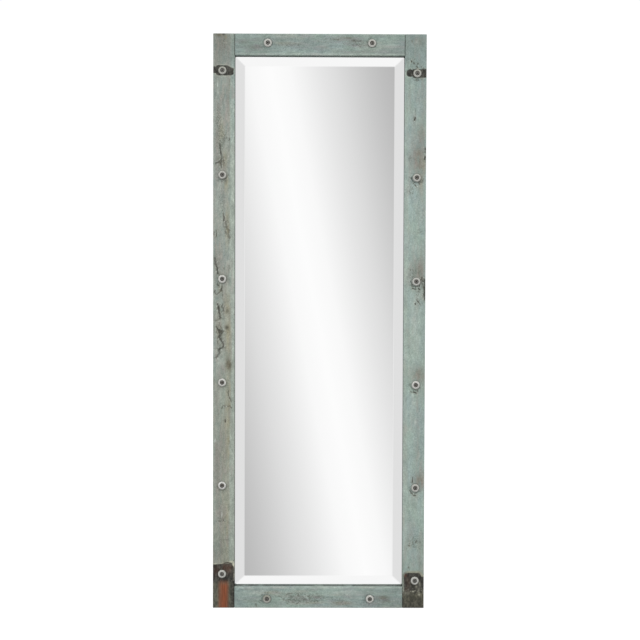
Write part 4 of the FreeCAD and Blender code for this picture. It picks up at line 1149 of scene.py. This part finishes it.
def gradedCard(tree, coords):
    # a white slanting band that greys to either side, mid grey wings and bright ends
    across = addNode(tree, "ShaderNodeSeparateXYZ", None, {"Vector": coords}, 0)
    up = addNode(tree, "ShaderNodeSeparateXYZ", None, {"Vector": coords}, 2)
    band = addNode(tree, "ShaderNodeMath", {"operation": "MULTIPLY_ADD"},
                   {0: up, 1: studio["bandSlant"], 2: across})
    band = addNode(tree, "ShaderNodeMath", {"operation": "SUBTRACT"}, {0: band, 1: studio["bandShift"]})
    band = addNode(tree, "ShaderNodeMath", {"operation": "ABSOLUTE"}, {0: band})
    grey = addNode(tree, "ShaderNodeValToRGB", {"stops": [
        (0.0, "#ffffff"), (0.13, "#fbfbfb"), (0.228, "#f2f2f2"), (0.33, "#e8e8e8"), (0.43, "#dfdfdf"),
        (0.53, "#d4d4d4"), (0.63, "#c9c9c9"), (0.72, "#c0c0c0"), (0.85, "#b6b6b6")]}, {0: band})
    sideways, upwards = studio["cardReach"]
    for value, middle, reach, glow in ((across, studio["cardMiddle"], sideways, studio["sideGlow"]),
                                       (up, studio["cardHeight"], upwards, studio["endGlow"])):
        beyond = addNode(tree, "ShaderNodeMath", {"operation": "SUBTRACT"}, {0: value, 1: middle})
        beyond = addNode(tree, "ShaderNodeMath", {"operation": "ABSOLUTE"}, {0: beyond})
        beyond = addNode(tree, "ShaderNodeMath", {"operation": "GREATER_THAN"}, {0: beyond, 1: reach})
        grey = addNode(tree, "ShaderNodeMix", {"data_type": "RGBA"},
                       {"Factor": beyond, "A": grey, "B": hexLinear(glow)})
    return {**unlit, "Emission Color": grey}


def flatSheet(name, corners, material):
    mesh = bpy.data.meshes.new(name)
    mesh.from_pydata(corners, [], [(0, 1, 2, 3)])
    mesh.materials.append(material)
    made = bpy.data.objects.new(name, mesh)
    scene.collection.objects.link(made)
    return made


def uprightCorners(left, right, low, high, y):
    return [(left, y, low), (right, y, low), (right, y, high), (left, y, high)]


far = studio["floorHalf"]
floor = flatSheet("studio_floor", [(-far, -far, 0), (far, -far, 0), (far, far, 0), (-far, far, 0)],
                  newMaterial("pale_studio_floor", paleFloor))
floor.visible_glossy = False
wide, tall = studio["cardSize"][0] / 2, studio["cardSize"][1] / 2
x, z = studio["cardMiddle"], studio["cardHeight"]
corners = uprightCorners(x - wide, x + wide, z - tall, z + tall, -studio["cardFar"])
card = flatSheet("reflection_card", corners, newMaterial("graded_reflection_card", gradedCard))

# four strips just before the glass, one to each bevel, mitred at the corners
strips = {"far": -0.019, "inner": ((-0.2153, 0.0862), (0.2156, 1.5634)), "wide": 0.0268}
(x0, z0), (x1, z1) = strips["inner"]
wide, y = strips["wide"], strips["far"]
inner = uprightCorners(x0, x1, z0, z1, y)
outer = uprightCorners(x0 - wide, x1 + wide, z0 - wide, z1 + wide, y)
glows = {"end": newMaterial("bright_end_strip", glowSheet, studio["endGlow"]),
         "side": newMaterial("grey_side_strip", glowSheet, studio["sideGlow"])}
sheets = [card]
for n, (name, glow) in enumerate((("low", "end"), ("right", "side"), ("high", "end"), ("left", "side"))):
    after = (n + 1) % 4
    corners = [outer[n], outer[after], inner[after], inner[n]]
    sheets.append(flatSheet("bevel_strip_" + name, corners, glows[glow]))
for sheet in sheets:  # seen only in reflections
    sheet.visible_camera = False
    sheet.visible_diffuse = False
    sheet.visible_shadow = False

key = bpy.data.lights.new("soft_key", "AREA")
key.shape = "RECTANGLE"
key.size, key.size_y = studio["keySize"]
key.energy = studio["keyPower"]
keyLamp = bpy.data.objects.new("soft_key", key)
keyLamp.location = studio["keyAt"]
aim = Vector(studio["keyAim"]) - Vector(studio["keyAt"])
keyLamp.rotation_euler = aim.to_track_quat("-Z", "Y").to_euler()
keyLamp.visible_glossy = False
scene.collection.objects.link(keyLamp)

# the camera, from the vanishing of the frame's edges in the photograph
yaw, pitch, roll = (math.radians(studio[angle]) for angle in ("yaw", "pitch", "roll"))
forward = Vector((math.sin(yaw) * math.cos(pitch), math.cos(yaw) * math.cos(pitch), -math.sin(pitch)))
rightward = Vector((math.cos(yaw), -math.sin(yaw), 0))
upward = rightward.cross(forward)
rolledRight = math.cos(roll) * rightward + math.sin(roll) * upward
rolledUp = -math.sin(roll) * rightward + math.cos(roll) * upward
lens = bpy.data.cameras.new("studio_camera")
lens.lens = studio["lens"]
lens.sensor_width = studio["sensor"]
camera = bpy.data.objects.new("studio_camera", lens)
turn = Matrix((rolledRight, rolledUp, -forward)).transposed().to_4x4()
camera.matrix_world = Matrix.Translation(studio["eye"]) @ turn
scene.collection.objects.link(camera)
scene.camera = camera
print("studio set")
